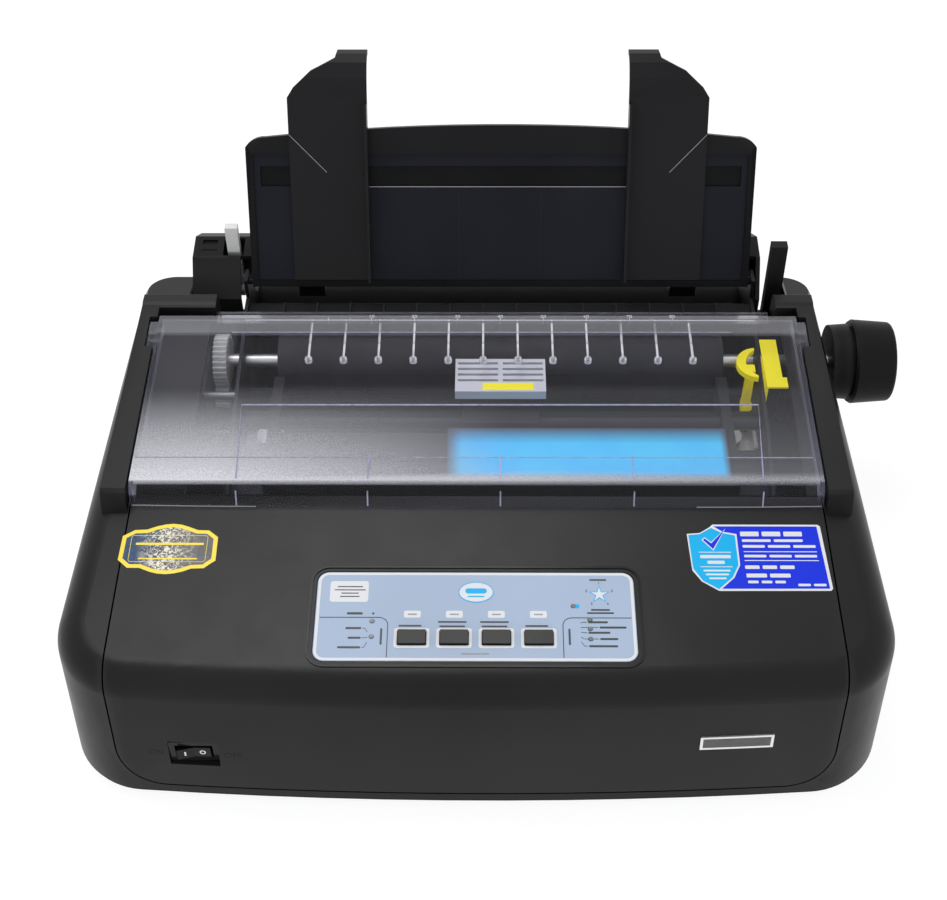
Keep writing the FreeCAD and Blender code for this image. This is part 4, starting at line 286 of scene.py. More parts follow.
def smoked(name):
    """The lid's plastic: a clear window at the back, a frosted field before it, and pale violet edges.

    The haze is strongest at the front left, a painted reflection streak runs along the front of the top, and
    the lip is clear.
    """
    haze_most, haze_least, haze_on_band, haze_everywhere = 0.9, 0.018, 0.12, 0.006
    haze_falloff, haze_at_right = 1.5, 0.1
    haze_left_x, haze_right_x = -0.16, 0.0
    # The streak is a painted reflection: pale haze along the front roll of the top, where light is mirrored.
    streak_at_left, streak_at_right = 0.75, 0.3
    streak_left_x, streak_right_x = -0.12, 0.14
    edge_share = 0.22
    shine_at_slope, shine_at_level = 0.5, 0.3
    soft = 0.002
    made = Shader(name)
    x, y, _ = made.axes()
    clear = made.plain("ShaderNodeBsdfTransparent", (0.95, 0.95, 0.97))
    haze = made.plain("ShaderNodeBsdfDiffuse", (0.75, 0.75, 0.78))
    violet = made.plain("ShaderNodeBsdfDiffuse", (0.62, 0.60, 0.86))
    grain = made.noise(1300.0, 4.0)
    before_window = made.spread(y, 1.0, 0.0, LID_WINDOW_FRONT_Y - soft, LID_WINDOW_FRONT_Y + soft)
    left_of_window = made.spread(x, 1.0, 0.0, LID_WINDOW_LEFT_X - soft, LID_WINDOW_LEFT_X)
    right_of_window = made.spread(x, 0.0, 1.0, LID_WINDOW_RIGHT_X, LID_WINDOW_RIGHT_X + soft)
    beside_window = made.count("MAXIMUM", left_of_window, right_of_window)
    frosted = made.count("MAXIMUM", before_window, beside_window)
    forward = made.spread(y, 1.0, 0.0, LID_ROLL_Y, LID_WINDOW_FRONT_Y)
    forward = made.count("POWER", forward, haze_falloff)
    leftward = made.spread(x, 1.0, haze_at_right, haze_left_x, haze_right_x)
    depth = made.count("ADD", made.product(forward, leftward, haze_most), haze_least)
    reflection_streak = made.product(made.spread(y, 1.0, 0.0, LID_ROLL_Y + 0.002, LID_ROLL_Y + 0.008),
                          made.spread(x, streak_at_left, streak_at_right, streak_left_x, streak_right_x))
    speckle = made.spread(grain, 0.8, 1.2, 0.36, 0.64)
    on_top = made.spread(y, 0.0, 1.0, LID_ROLL_Y - 0.001, LID_ROLL_Y + 0.0005)
    # Haze together with the painted reflection streak.
    haze_and_reflection = made.product(frosted, made.count("MAXIMUM", depth, reflection_streak), speckle, on_top)
    band = made.product(made.spread(y, 0.0, 1.0, LID_BAND_Y - 0.001, LID_BAND_Y), haze_on_band)
    whole = made.count("ADD", made.count("ADD", haze_and_reflection, band), haze_everywhere)
    facing = made.add("ShaderNodeSeparateXYZ")
    made.link(made.add("ShaderNodeNewGeometry").outputs["True Normal"], facing.inputs[0])
    sideways = made.spread(made.count("ABSOLUTE", facing.outputs["X"], 0.0), 0.0, edge_share, 0.5, 0.9)
    edged = made.mix(made.mix(clear, haze, whole), violet, sideways)
    shine, strength = made.coat((0.9, 0.9, 1.0), 0.16, 1.25)
    made.relief(grain, 0.05, 0.00005, shine)
    level = made.spread(facing.outputs["Z"], shine_at_slope, shine_at_level, 0.9, 0.99)
    shining = made.product(strength, level)
    made.link(made.mix(edged, shine.outputs[0], shining), made.out.inputs["Surface"])
    return made.material


def foil(name):
    """Crinkled foil: dark blue at the left, pale crinkles in the middle and grey at the right."""
    made = Shader(name)
    base = made.surface((0.06, 0.06, 0.07), 0.25, Metallic=0.4)
    x, _, _ = made.axes()
    crinkle = made.noise(520.0, 6.0, (1, 1, 1), 1.2)
    middle = made.product(made.spread(x, 0.0, 1.0, STICKER_X - 0.017, STICKER_X - 0.006),
                          made.spread(x, 1.0, 0.0, STICKER_X + 0.002, STICKER_X + 0.016))
    pale = made.product(made.spread(crinkle, 0.0, 1.0, 0.47, 0.6), middle)
    rightward = made.spread(x, 0.0, 1.0, STICKER_X - 0.015, STICKER_X)
    field = made.blend((0.012, 0.035, 0.085), (0.075, 0.072, 0.075), rightward)
    made.link(made.blend(field, (0.62, 0.58, 0.46), pale), base.inputs["Base Color"])
    made.link(made.spread(crinkle, 0.2, 0.5), base.inputs["Roughness"])
    made.relief(crinkle, 0.5, 0.0002, base)
    return made.material


def soft_label(name):
    """A blue label whose colour fades towards its edges, with a painted glow: it gives off a little light,
    though it is no lamp.
    """
    painted_glow = 0.25
    made = Shader(name)
    base = made.surface((0.02, 0.2, 0.8), 0.4, Emission_Strength=painted_glow)
    x, y, _ = made.axes()
    back = made.spread(y, 1.0, 0.0, LABEL_BACK_Y - 0.012, LABEL_BACK_Y)
    left = made.spread(x, 0.0, 1.0, LABEL_LEFT_X, LABEL_LEFT_X + 0.008)
    right = made.spread(x, 1.0, 0.0, LABEL_RIGHT_X - 0.004, LABEL_RIGHT_X)
    front = made.spread(y, 0.0, 1.0, LABEL_FRONT_Y, LABEL_FRONT_Y + 0.005)
    strength = made.product(made.product(back, front), made.product(left, right))
    mottled = made.blend((0.0, 0.50, 1.0), (0.02, 0.62, 1.0), made.spread(made.noise(30.0), 0.0, 1.0))
    field = made.blend((0.006, 0.012, 0.04), mottled, strength)
    made.link(field, base.inputs["Base Color"])
    made.link(field, base.inputs["Emission Color"])
    made.relief(made.noise(900.0), 0.1, 0.00003, base)
    return made.material


def see_through(name, tint, haze_colour, haze):
    """Plain clear plastic with a little haze and a fine shine."""
    made = Shader(name)
    clear = made.plain("ShaderNodeBsdfTransparent", tint)
    dull = made.plain("ShaderNodeBsdfDiffuse", haze_colour)
    body = made.mix(clear, dull, made.spread(made.noise(300.0), haze * 0.7, haze * 1.3))
    shine, strength = made.coat((0.8, 0.8, 0.8), 0.1, 1.45)
    made.link(made.mix(body, shine.outputs[0], strength), made.out.inputs["Surface"])
    return made.material


MATERIALS = {
    "case": moulded("case_black", (0.0034, 0.0034, 0.0037), 0.35, Specular_IOR_Level=0.20),
    "rear": moulded("rear_black", (0.0036, 0.0036, 0.0040), 0.46, Specular_IOR_Level=0.10),
    "guide": moulded("guide_black", (0.0028, 0.0028, 0.0036), 0.34, depth=0.00002, Specular_IOR_Level=0.08),
    "guide_field": moulded("guide_field", (0.0095, 0.0105, 0.0150), 0.55, depth=0.00003,
                           Specular_IOR_Level=0.10),
    "dark": moulded("inner_black", (0.0035, 0.0035, 0.0045), 0.5, Specular_IOR_Level=0.15),
    "gloss": moulded("button_black", (0.0025, 0.0025, 0.0030), 0.16, depth=0.00001,
                     Specular_IOR_Level=0.12),
    "panel": moulded("panel_silver", (0.395, 0.49, 0.635), 0.5, grain=3000.0, depth=0.00001, wear=0.1,
                     spread=0.06, Specular_IOR_Level=0.3),
    "white": moulded("white_plastic", (0.78, 0.78, 0.75), 0.42, wear=0.1, spread=0.05),
    # The yellow plastic has a painted glow: its emission lights the lever, the scale and the head's label a
    # little, though they are no lamps.
    "yellow": moulded("yellow_plastic", (1.0, 0.86, 0.003), 0.4, wear=0.1, spread=0.04,
                      Emission_Color=(1.0, 0.84, 0.0, 1), Emission_Strength=0.22),
    "lid": smoked("lid_clear"),
    "lid_line": see_through("lid_line", (0.8, 0.8, 0.88), (0.56, 0.54, 0.76), 0.55),
    "lid_rib": see_through("lid_rib", (0.9, 0.9, 0.95), (0.78, 0.78, 0.9), 0.5),
    "clear": see_through("bar_clear", (0.84, 0.84, 0.86), (0.5, 0.5, 0.6), 0.1),
    "rubber": rubber("soft_rubber", (0.009, 0.009, 0.011)),
    "feet": rubber("foot_rubber", (0.02, 0.02, 0.02)),
    "steel": metal("zinc_steel", (0.56, 0.56, 0.55), 0.34),
    "dull_steel": metal("dull_steel", (0.028, 0.028, 0.034), 0.55),
    "motor": metal("motor_can", (0.2, 0.2, 0.21), 0.45),
    "alloy": moulded("painted_alloy", (0.76, 0.76, 0.78), 0.5, wear=0.0, spread=0.05),
    "badge": metal("badge_alloy", (0.78, 0.78, 0.78), 0.34, (14, 1, 1)),
    "board": moulded("board_green", (0.03, 0.13, 0.06), 0.35, wear=0.1),
    "lamp": moulded("lamp_clear", (0.045, 0.06, 0.07), 0.2, wear=0.1),
    "ribbon": rubber("inked_ribbon", (0.008, 0.008, 0.010), 0.85),
    "gold": moulded("gold_foil", (1.0, 0.74, 0.03), 0.32, wear=0.0, spread=0.08),
    "foil": foil("sticker_foil"),
    "blue": moulded("sticker_blue", (0.006, 0.03, 0.72), 0.4, wear=0.0, spread=0.06, Specular_IOR_Level=0.2),
    "cyan": moulded("sticker_cyan", (0.005, 0.46, 0.86), 0.4, wear=0.0, spread=0.06, Specular_IOR_Level=0.2),
    "paper": moulded("label_white", (0.80, 0.81, 0.82), 0.5, wear=0.0, spread=0.03, Specular_IOR_Level=0.2),
    "print": moulded("print_dark", (0.012, 0.014, 0.018), 0.45, wear=0.0),
    "plate_grey": metal("plate_grey", (0.24, 0.24, 0.245), 0.4, (14, 1, 1), 0.08),
    "print_grey": moulded("print_grey", (0.30, 0.30, 0.31), 0.45, wear=0.0, spread=0.08),
    "ribbon_label": soft_label("label_blue"),
}

NODE_LOOKS = {
    "main_case": "case", "front_cover": "case", "badge_plate": "badge", "base_pan": "rear",
    "rubber_feet": "feet", "case_screws": "steel", "smoke_cover": "lid", "left_frame": "dull_steel",
    "right_frame": "dull_steel", "platen_roller": "rubber", "platen_shaft": "steel",
    "platen_bushes": "dark", "platen_knob": "rear", "platen_gear": "white", "feed_pinion": "white",
    "feed_motor": "motor", "pressure_rollers": "rubber", "paper_chute": "dark", "tear_bar": "clear",
    "carriage": "dark", "print_head": "dark", "head_cooler": "alloy", "guide_rod": "dull_steel",
    "support_rail": "dull_steel", "carriage_belt": "rubber", "idler_pulley": "white",
    "drive_pulley": "white", "idler_bracket": "steel", "motor_bracket": "steel",
    "carriage_motor": "motor", "ribbon_cartridge": "dark", "ribbon_knob": "dark", "ribbon_band": "ribbon",
    "ribbon_tray": "dull_steel", "sheet_guide": "guide", "left_edge_guide": "guide",
    "right_edge_guide": "guide", "rear_cover": "rear", "release_lever": "white", "feed_lever": "rear",
    "head_gap_lever": "yellow", "left_tractor": "dark", "right_tractor": "dark", "tractor_shaft": "steel",
    "tractor_rail": "steel", "control_panel": "panel", "panel_lamps": "lamp", "button_1": "gloss",
    "button_2": "gloss", "button_3": "gloss", "button_4": "gloss", "key_board": "board",
    "switch_housing": "gloss", "power_rocker": "gloss", "main_board": "board", "board_chips": "dark",
    "transformer": "motor", "power_inlet": "dark", "data_port": "steel", "gap_scale": "yellow",
}


def dress_nodes():
    """Gives every CAD node its material and soft edges."""
    for name, look in NODE_LOOKS.items():
        node = NODES[name]
        node.data.materials.clear()
        node.data.materials.append(MATERIALS[look])
        if name in BEVELS:
            bevel = node.modifiers.new("soft_edges", "BEVEL")
            bevel.width = BEVELS[name] * MM
            bevel.segments = 2
            bevel.limit_method = "ANGLE"
            bevel.angle_limit = math.radians(35)
            bevel.harden_normals = True
    guide, lid = NODES["sheet_guide"], NODES["smoke_cover"]
    flat = guide_matrix().inverted() @ guide.matrix_world
    slack, facing = 0.3, 0.9

    def in_guide_field(face):
        forward = (flat @ face.center).z / MM
        return abs(forward + GUIDE_SUNK) < slack and abs((flat.to_3x3() @ face.normal).z) > facing

    level = lid_matrix().inverted() @ lid.matrix_world

    def on_lid_rib(face):
        spot = level @ face.center / MM
        inside = LID_RIBS[0] < spot.y < LID_RIBS[1] and abs(spot.x - PATH_X) < LID_RIB_HALF
        return inside and spot.z < -LID_RIB_TOP

    for node, look, chosen in ((guide, "guide_field", in_guide_field), (lid, "lid_rib", on_lid_rib)):
        node.data.materials.append(MATERIALS[look])
        for face in node.data.polygons:
            if chosen(face):
                face.material_index = 1


BEVELS = {
    "button_1": 0.5, "button_2": 0.5, "button_3": 0.5, "button_4": 0.5, "release_lever": 0.6,
    "feed_lever": 0.8, "power_rocker": 0.4, "head_gap_lever": 0.5, "rear_cover": 0.7,
}


# Thin pieces


def new_piece(name, mesh, look, body):
    """Links a mesh as a piece with its material, riding on a CAD body."""
    piece = bpy.data.objects.new(name, mesh)
    bpy.context.scene.collection.objects.link(piece)
    mesh.materials.append(MATERIALS[look])
    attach(piece, body)
    return piece


def slab(name, outline, matrix, look, body, thick=0.12, holes=()):
    """A thin slab from an outline in millimetres, lying on the matrix's plane."""
    form = bmesh.new()
    loops = [outline, *holes]
    edges = []
    for loop in loops:
        points = [form.verts.new((x * MM, y * MM, 0)) for x, y in loop]
        edges += [form.edges.new((points[i], points[(i + 1) % len(points)])) for i in range(len(points))]
    bmesh.ops.triangle_fill(form, edges=edges, use_beauty=True)
    faces = list(form.faces)
    bmesh.ops.recalc_face_normals(form, faces=faces)
    if faces and faces[0].normal.z < 0:
        bmesh.ops.reverse_faces(form, faces=faces)
    top = bmesh.ops.extrude_face_region(form, geom=list(form.faces))
    lifted = [item for item in top["geom"] if isinstance(item, bmesh.types.BMVert)]
    bmesh.ops.translate(form, verts=lifted, vec=(0, 0, thick * MM))
    bmesh.ops.transform(form, matrix=matrix, verts=form.verts)
    bmesh.ops.recalc_face_normals(form, faces=list(form.faces))
    mesh = bpy.data.meshes.new(name)
    form.to_mesh(mesh)
    form.free()
    return new_piece(name, mesh, look, body)


def round_box(x, y, wide, tall, radius, steps=6):
    """The outline of a rectangle round (x, y) with round corners."""
    points = []
    for corner, (sx, sy) in enumerate(((1, 1), (-1, 1), (-1, -1), (1, -1))):
        cx = x + sx * (wide / 2 - radius)
        cy = y + sy * (tall / 2 - radius)
        for step in range(steps + 1):
            angle = math.radians(90 * corner + 90 * step / steps)
            points.append((cx + radius * math.cos(angle), cy + radius * math.sin(angle)))
    return points


def inset(outline, depth):
    """The outline drawn in by a depth, corner by corner."""
    sharpest = 0.5
    count = len(outline)
    area = sum(outline[i][0] * outline[(i + 1) % count][1] - outline[(i + 1) % count][0] * outline[i][1]
               for i in range(count))
    turn = 1 if area > 0 else -1
    drawn = []
    for i in range(count):
        before, here, after = (Vector(outline[(i + step) % count]) for step in (-1, 0, 1))
        first, second = (here - before).normalized(), (after - here).normalized()
        normals = Vector((-first.y, first.x)) * turn, Vector((-second.y, second.x)) * turn
        middle = (normals[0] + normals[1]).normalized()
        reach = depth / max(middle.dot(normals[0]), sharpest)
        drawn.append((here.x + middle.x * reach, here.y + middle.y * reach))
    return drawn


def ribbon_line(points, line):
    """The outline of a line of even width through the points."""
    left, right = [], []
    for i, point in enumerate(points):
        here = Vector(point)
        before = Vector(points[i - 1]) if i else here
        after = Vector(points[i + 1]) if i + 1 < len(points) else here
        along = (after - before).normalized()
        side = Vector((-along.y, along.x)) * line / 2
        left.append(tuple(here + side))
        right.append(tuple(here - side))
    return left + right[::-1]


def turned_corner(x, y, radius, start, end, steps=6):
    """Points of an arc round (x, y), from one angle to another in degrees."""
    angles = [math.radians(start + (end - start) * n / steps) for n in range(steps + 1)]
    return [(x + radius * math.cos(angle), y + radius * math.sin(angle)) for angle in angles]


def ellipse(x, y, wide, tall, steps=40):
    """The outline of an ellipse round (x, y)."""
    angles = [2 * math.pi * n / steps for n in range(steps)]
    return [(x + wide / 2 * math.cos(angle), y + tall / 2 * math.sin(angle)) for angle in angles]


def frame_lines(name, x, y, wide, tall, radius, line, matrix, look, body, thick=0.15):
    """A thin line round a rectangle."""
    outer = round_box(x, y, wide, tall, radius)
    inner = round_box(x, y, wide - line * 2, tall - line * 2, max(radius - line, 0.1))
    return slab(name, outer, matrix, look, body, thick, (inner,))


def lettering(name, words, size, thick, look, matrix, body, upright="CENTER"):
    """Plain words or numbers on the matrix's plane, with their size and thickness in millimetres."""
    text = bpy.data.curves.new(name, "FONT")
    text.body = words
    text.size = size * MM
    text.align_x = "CENTER"
    text.align_y = upright
    text.extrude = thick * MM
    text.materials.append(MATERIALS[look])
    piece = bpy.data.objects.new(name, text)
    bpy.context.scene.collection.objects.link(piece)
    piece.matrix_world = matrix
    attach(piece, body)


# Control panel

# Millimetres on the deck, from the panel's middle and up the slope
PANEL_LOW = 3.5
PANEL_TALL = 54.0
PANEL_MIDDLE = PANEL_LOW + PANEL_TALL / 2
PANEL_FACE = -0.2
BUTTON_XS = (-32.1, -10.7, 10.7, 32.1)
BUTTON_UP = 17.3
STAR_X = 63.6
STAR_UP = 43.6
STAR_REACH = 5.4
STAR_WAIST = 2.1
STAR_RING = 7.0


def panel_prints():
    """The panel's rim, white border, bare label fields, button surrounds and printed lines."""
    face = deck_matrix(above=PANEL_FACE)

    def mark(name, outline, look="print", thick=0.12, holes=()):
        slab(name, outline, face, look, "case", thick, holes)

    rim = deck_matrix(above=-0.1)
    frame_lines("panel_rim", 0, PANEL_MIDDLE, 170.5, 60.5, 9.5, 1.3, rim, "gloss", "case", 0.7)
    frame_lines("panel_border", 0, PANEL_MIDDLE, 162.4, 52.6, 5.5, 1.5, face, "paper", "case")
    mark("panel_label", round_box(-65.0, 45.2, 19.8, 12.7, 1.5), "paper")
    for row, wide in enumerate((13.0, 16.0, 9.0, 10.0)):
        mark("label_line_%d" % row, round_box(-64.6, 48.1 - row * 2.0, wide, 0.6, 0.25), thick=0.18)
    mark("panel_oval", ellipse(0.3, 44.9, 18.2, 12.6), "cyan")
    mark("oval_field", ellipse(0.3, 44.9, 17.2, 11.6), "paper", 0.16)
    mark("oval_bar", round_box(0.3, 45.6, 11.0, 3.2, 1.4), "cyan", 0.2)
    mark("oval_bar_low", round_box(0.3, 42.2, 8.5, 0.8, 0.3), "cyan", 0.2)
    for number, x in enumerate(BUTTON_XS, start=1):
        hole = round_box(x, BUTTON_UP, 15.0, 8.8, 0.6)
        mark("button_frame_%d" % number, round_box(x, BUTTON_UP, 18.0, 11.8, 1.6), "paper", 0.3, (hole,))
        mark("button_label_%d" % number, round_box(x, 31.5, 8.6, 4.2, 0.9), "paper")
        mark("button_name_%d" % number, round_box(x, 31.4, 4.6, 0.8, 0.3), "print_grey", 0.18)
        rows = ((26.9, 14.5), (24.3, 13.0)) if number in (2, 3) else ((24.6, 11.5),)
        for row, (up, wide) in enumerate(rows):
            mark("button_line_%d_%d" % (number, row), round_box(x - 1.0, up, wide, 0.9, 0.35))
    mark("feed_line", round_box(0, 8.2, 14, 0.8, 0.3), "print_grey")
    for side in (-1, 1):
        corner = turned_corner(side * 49.0, 24.9, 4.6, 90, 90 + side * 90)
        bend = [(side * 79.3, 29.5)] + corner + [(side * 44.4, 6.0)]
        mark("field_line_%d" % (side + 1), ribbon_line(bend, 0.4))
        mark("field_name_%d" % (side + 1), round_box(side * 47.6, 18.2, 1.0, 9.5, 0.4))
    for row, (up, wide) in enumerate(((23.1, 8.0), (17.4, 6.5), (11.8, 11.5))):
        mark("left_name_%d" % row, round_box(-57.8 - wide / 2, up, wide, 1.1, 0.4))
        lead = [(-57.2, up), (-56.0, up), (-54.6, 20.7 - row * 3.0)]
        mark("left_lead_%d" % row, ribbon_line(lead, 0.25))
    mark("left_title", round_box(-61.5, 31.9, 8.0, 1.3, 0.4))
    mark("left_dot", ellipse(-52.1, 31.9, 1.2, 1.2, 16))
    for row, (up, wide) in enumerate(((26.9, 10.0), (23.8, 13.5), (20.7, 11.0), (17.0, 9.0), (12.8, 14.5))):
        start = 57.2 if row % 2 == 0 else 63.0
        mark("right_name_%d" % row, round_box(start + wide / 2, up, wide, 1.1, 0.4))
        lead = [(53.4, 26.6 - row * 2.8), (55.0, up), (start - 0.6, up)]
        mark("right_lead_%d" % row, ribbon_line(lead, 0.25))
    star = []
    for n in range(10):
        radius = STAR_REACH if n % 2 == 0 else STAR_WAIST
        angle = math.radians(90 + 36 * n)
        star.append((STAR_X + radius * math.cos(angle), STAR_UP + radius * math.sin(angle)))
    mark("panel_star", star, "cyan", 0.14)
    mark("star_field", inset(star, 0.45), "paper", 0.18)
    mark("star_title", round_box(63.2, 52.6, 8.6, 0.9, 0.3))
    for row, wide in enumerate((9.6, 13.6)):
        mark("star_line_%d" % row, round_box(63.8, 34.3 - row * 1.9, wide, 0.9, 0.3))
    for number in range(5):
        angle = math.radians(90 + 72 * number)
        place = deck_matrix(STAR_X + STAR_RING * math.cos(angle), STAR_UP + STAR_RING * math.sin(angle),
                            PANEL_FACE + 0.1)
        lettering("star_number_%d" % number, str(number + 1), 2.0, 0.04, "print", place, "case")
    mark("panel_window", round_box(51.2, 36.5, 3.6, 2.2, 0.5), "cyan", 0.14)


# Stickers


def stickers():
    """Two bare stickers on the deck: a gold plate shape with foil, and a blue one with a shield."""
    sheet, field, ink = (deck_matrix(above=above) for above in (0.02, 0.12, 0.18))
    ink_thick = 0.04
    plate = [(-187.0, 79.6), (-184.9, 81.0), (-181.0, 83.6), (-174.6, 83.9), (-169.7, 86.0), (-165.2, 87.2),
             (-161.0, 87.7), (-156.6, 87.1), (-152.5, 85.7), (-147.5, 83.6), (-141.6, 83.4), (-138.6, 80.9),
             (-136.4, 79.0), (-136.2, 64.1), (-139.3, 61.6), (-141.8, 59.3), (-148.4, 59.0), (-152.8, 57.1),
             (-156.8, 56.0), (-161.2, 55.5), (-165.6, 55.8), (-169.8, 56.9), (-175.6, 59.4), (-182.0, 59.4),
             (-185.0, 62.2), (-187.5, 64.4)]
    slab("gold_sticker", plate, sheet, "gold", "case", 0.1)
    slab("gold_field", inset(plate, 2.3), field, "foil", "case", 0.06)
    frame_lines("gold_inner_line", -161.9, 71.6, 40.6, 17.0, 1.5, 0.25, ink, "gold", "case", ink_thick)
    for row, (up, wide) in enumerate(((74.6, 36.0), (65.2, 31.0))):
        line = round_box(-161.4, up, wide, 1.4 - row * 0.5, 0.3)
        slab("gold_line_%d" % row, line, ink, "gold", "case", ink_thick)
    border = [(111.5, 81.8), (118.4, 82.4), (123.7, 86.0), (125.6, 87.9), (181.2, 87.9), (182.5, 86.8),
              (184.1, 47.4), (183.0, 46.1), (125.5, 45.9), (117.0, 51.7), (112.6, 58.6)]
    slab("blue_sticker", border, sheet, "paper", "case", 0.1)
    blue = [(126.0, 86.7), (180.6, 86.7), (182.6, 47.4), (127.0, 47.2), (134.0, 54.0), (137.8, 62.0),
            (137.8, 81.8), (130.6, 83.2)]
    slab("blue_field", blue, field, "blue", "case", 0.05)
    shield = [(112.3, 81.0), (118.3, 81.6), (124.6, 85.6), (130.1, 82.4), (136.8, 80.8), (136.9, 62.0),
              (133.2, 54.4), (125.5, 47.0), (117.6, 52.2), (113.2, 59.8)]
    slab("sticker_shield", shield, field, "cyan", "case", 0.06)
    tick = [(119.0, 77.9), (120.7, 79.6), (123.9, 76.4), (132.2, 85.2), (124.7, 71.0)]
    slab("tick_edge", tick, ink, "paper", "case", ink_thick)
    slab("tick", inset(tick, 0.55), deck_matrix(above=0.22), "blue", "case", ink_thick)
    rows = ((139.7, 172.3, 81.8, 3.0), (140.2, 172.2, 77.5, 1.7), (140.2, 178.5, 73.8, 1.7),
            (140.4, 178.8, 70.4, 0.5), (140.4, 178.5, 67.6, 1.6), (140.4, 179.1, 64.8, 0.5),
            (140.2, 165.9, 60.6, 2.2), (140.4, 163.2, 55.4, 2.4), (140.8, 160.3, 51.4, 1.6),
            (166.5, 181.0, 49.6, 1.5))
    gap = 1.6
    for row, (start, end, up, tall) in enumerate(rows):
        words = 1 if tall < 1 else 2 if row % 2 else 3
        wide = (end - start - (words - 1) * gap) / words
        for word in range(words):
            line = round_box(start + wide / 2 + word * (wide + gap), up, wide, tall, min(0.5, tall / 2.2))
            slab("sticker_line_%d_%d" % (row, word), line, ink, "paper", "case", ink_thick)
    rows = ((70.0, 17, 0.45), (67.2, 16, 2.0), (63.6, 9, 2.0), (60.8, 17, 0.45), (58.4, 14, 1.1),
            (56.0, 12, 1.1), (53.6, 9, 1.1))
    for row, (up, wide, tall) in enumerate(rows):
        line = round_box(125.4, up, wide, tall, min(0.4, tall / 2.2))
        slab("shield_line_%d" % row, line, deck_matrix(above=0.2), "paper", "case", ink_thick)


# Labels inside and marks

SCALE_START_X = -88
SCALE_PITCH = 2.54
SCALE_Y = 253.3


def inner_labels():
    """The ribbon's label and the yellow label on the print head's cooler."""
    ribbon = round_box(62.3, 164.5, 157.6, 39, 2)
    slab("ribbon_label", ribbon, Matrix.Translation(at(0, 0, 92.0)), "ribbon_label", "case")
    head = round_box(17.8, 204.4, 29, 5.6, 0.4)
    slab("head_label", head, Matrix.Translation(at(0, 0, 105.0)), "yellow", "carriage_body", 0.3)


def scale_marks():
    """A painted highlight along the clear bar's edge, its column marks and plain numbers."""
    # Painted highlight: a pale line along the clear bar's edge.
    edge = ribbon_line([(-137.0, 253.2), (163.0, 253.2)], 0.7)
    slab("bar_edge_highlight", edge, Matrix.Translation(at(0, 0, 112.1)), "paper", "case", 0.1)
    face = Matrix.Translation(at(0, 0, 111.3))
    for n in range(81):
        tall = 3.0 if n % 10 == 0 else 2.2 if n % 5 == 0 else 1.5
        mark = round_box(SCALE_START_X + n * SCALE_PITCH, SCALE_Y + tall / 2, 0.35, tall, 0.1, 1)
        slab("scale_mark_%d" % n, mark, face, "paper", "case", 0.05)
    for n in range(1, 9):
        place = Matrix.Translation(at(SCALE_START_X + n * 10 * SCALE_PITCH, 256.3, 111.36))
        lettering("scale_number_%d" % n, str(n * 10), 3.4, 0.03, "paper", place, "case", "TOP_BASELINE")


def guide_lines():
    """Fine moulded dark lines on the sheet guide, a pale line along its channel's lower edge, and painted
    highlights along the creases of its edge guides.
    """
    field = guide_matrix(forward=-GUIDE_SUNK)
    for number, x in enumerate((-61.7, -11.1, 37.6, 86.4)):
        slab("guide_line_%d" % number, round_box(x, 32, 0.4, 52, 0.1, 1), field, "dark", "guide", 0.08)
    slab("guide_edge_line", round_box(12.5, 60.7, 186, 0.45, 0.1, 1), field, "print_grey", "guide", 0.1)
    face = guide_matrix(forward=2.4)
    # The creases get painted highlights: pale lines along the folds of the edge guides.
    for name, outer, inner, body in (("left", -109.3, -88, "left_stop"), ("right", 132.8, 112, "right_stop")):
        crease = ribbon_line([(outer, 92), (inner, 70)], 0.3)
        slab("crease_highlight_" + name, crease, face, "print_grey", body, 0.12)


def lid_lines():
    """Raised lines moulded into the lid's top and down its lip, and painted highlights along the lip's bottom
    edge at both ends.
    """
    top = lid_matrix()
    lip_run, lip_rise = LIP_TOP[0] - LIP_FOOT[0], LIP_TOP[1] - LIP_FOOT[1]
    lip = Matrix.Translation(at(0, *LIP_FOOT)) @ Matrix.Rotation(math.atan2(lip_rise, lip_run), 4, "X")
    lip_long = math.hypot(lip_run, lip_rise)

    def on_top(name, points, line):
        outline = ribbon_line([(x, y - LID_FRONT[0]) for x, y in points], line)
        slab(name, outline, top, "lid_line", "cover", 0.3)

    on_top("lid_field", [(-128.4, 127), (-130.7, 179.3), (156.4, 179.8), (153.2, 127)], 0.9)
    on_top("lid_crease", [(-184.5, 141.4), (181.5, 141.8)], 0.5)
    for number, x in enumerate((-58.0, 13.0, 84.4)):
        on_top("lid_rib_%d" % number, [(x, 143), (x, 127)], 0.8)
    on_top("lid_band_line", [(-142.0, 235.3), (147.0, 235.6)], 0.5)
    for number, x in enumerate((-128.4, -58.0, 13.0, 84.4, 153.2)):
        rib = ribbon_line([(x, 0.8), (x, lip_long - 0.5)], 0.8)
        slab("lip_rib_%d" % number, rib, lip, "lid_line", "cover", 0.2)
    # Painted highlights: pale lines along the lip's bottom edge at both ends, where light is mirrored.
    for side in (-1, 1):
        edge = ribbon_line([(side * 184.5, 1.0), (side * 150.0, 0.45), (side * 118, 0.3)], 0.5)
        slab("lip_edge_highlight_%d" % (side + 1), edge, lip, "print_grey", "cover", 0.15)


# Marks on the front


def front_spot(node, x, z):
    """The place on a node's front at (x, z), as a frame with Z out of the surface."""
    well_ahead = -60
    turned = node.matrix_world.inverted()
    start = turned @ at(x, well_ahead, z)
    ahead = (turned.to_3x3() @ Vector((0, 1, 0))).normalized()
    hit, place, normal, _ = node.ray_cast(start, ahead)
    if not hit:
        raise RuntimeError("nothing at %s, %s" % (x, z))
    out = (node.matrix_world.to_3x3() @ normal).normalized()
    level = (Vector((1, 0, 0)) - out * out.x).normalized()
    facing = Matrix((level, out.cross(level), out)).transposed().to_4x4()
    return Matrix.Translation(node.matrix_world @ place) @ facing


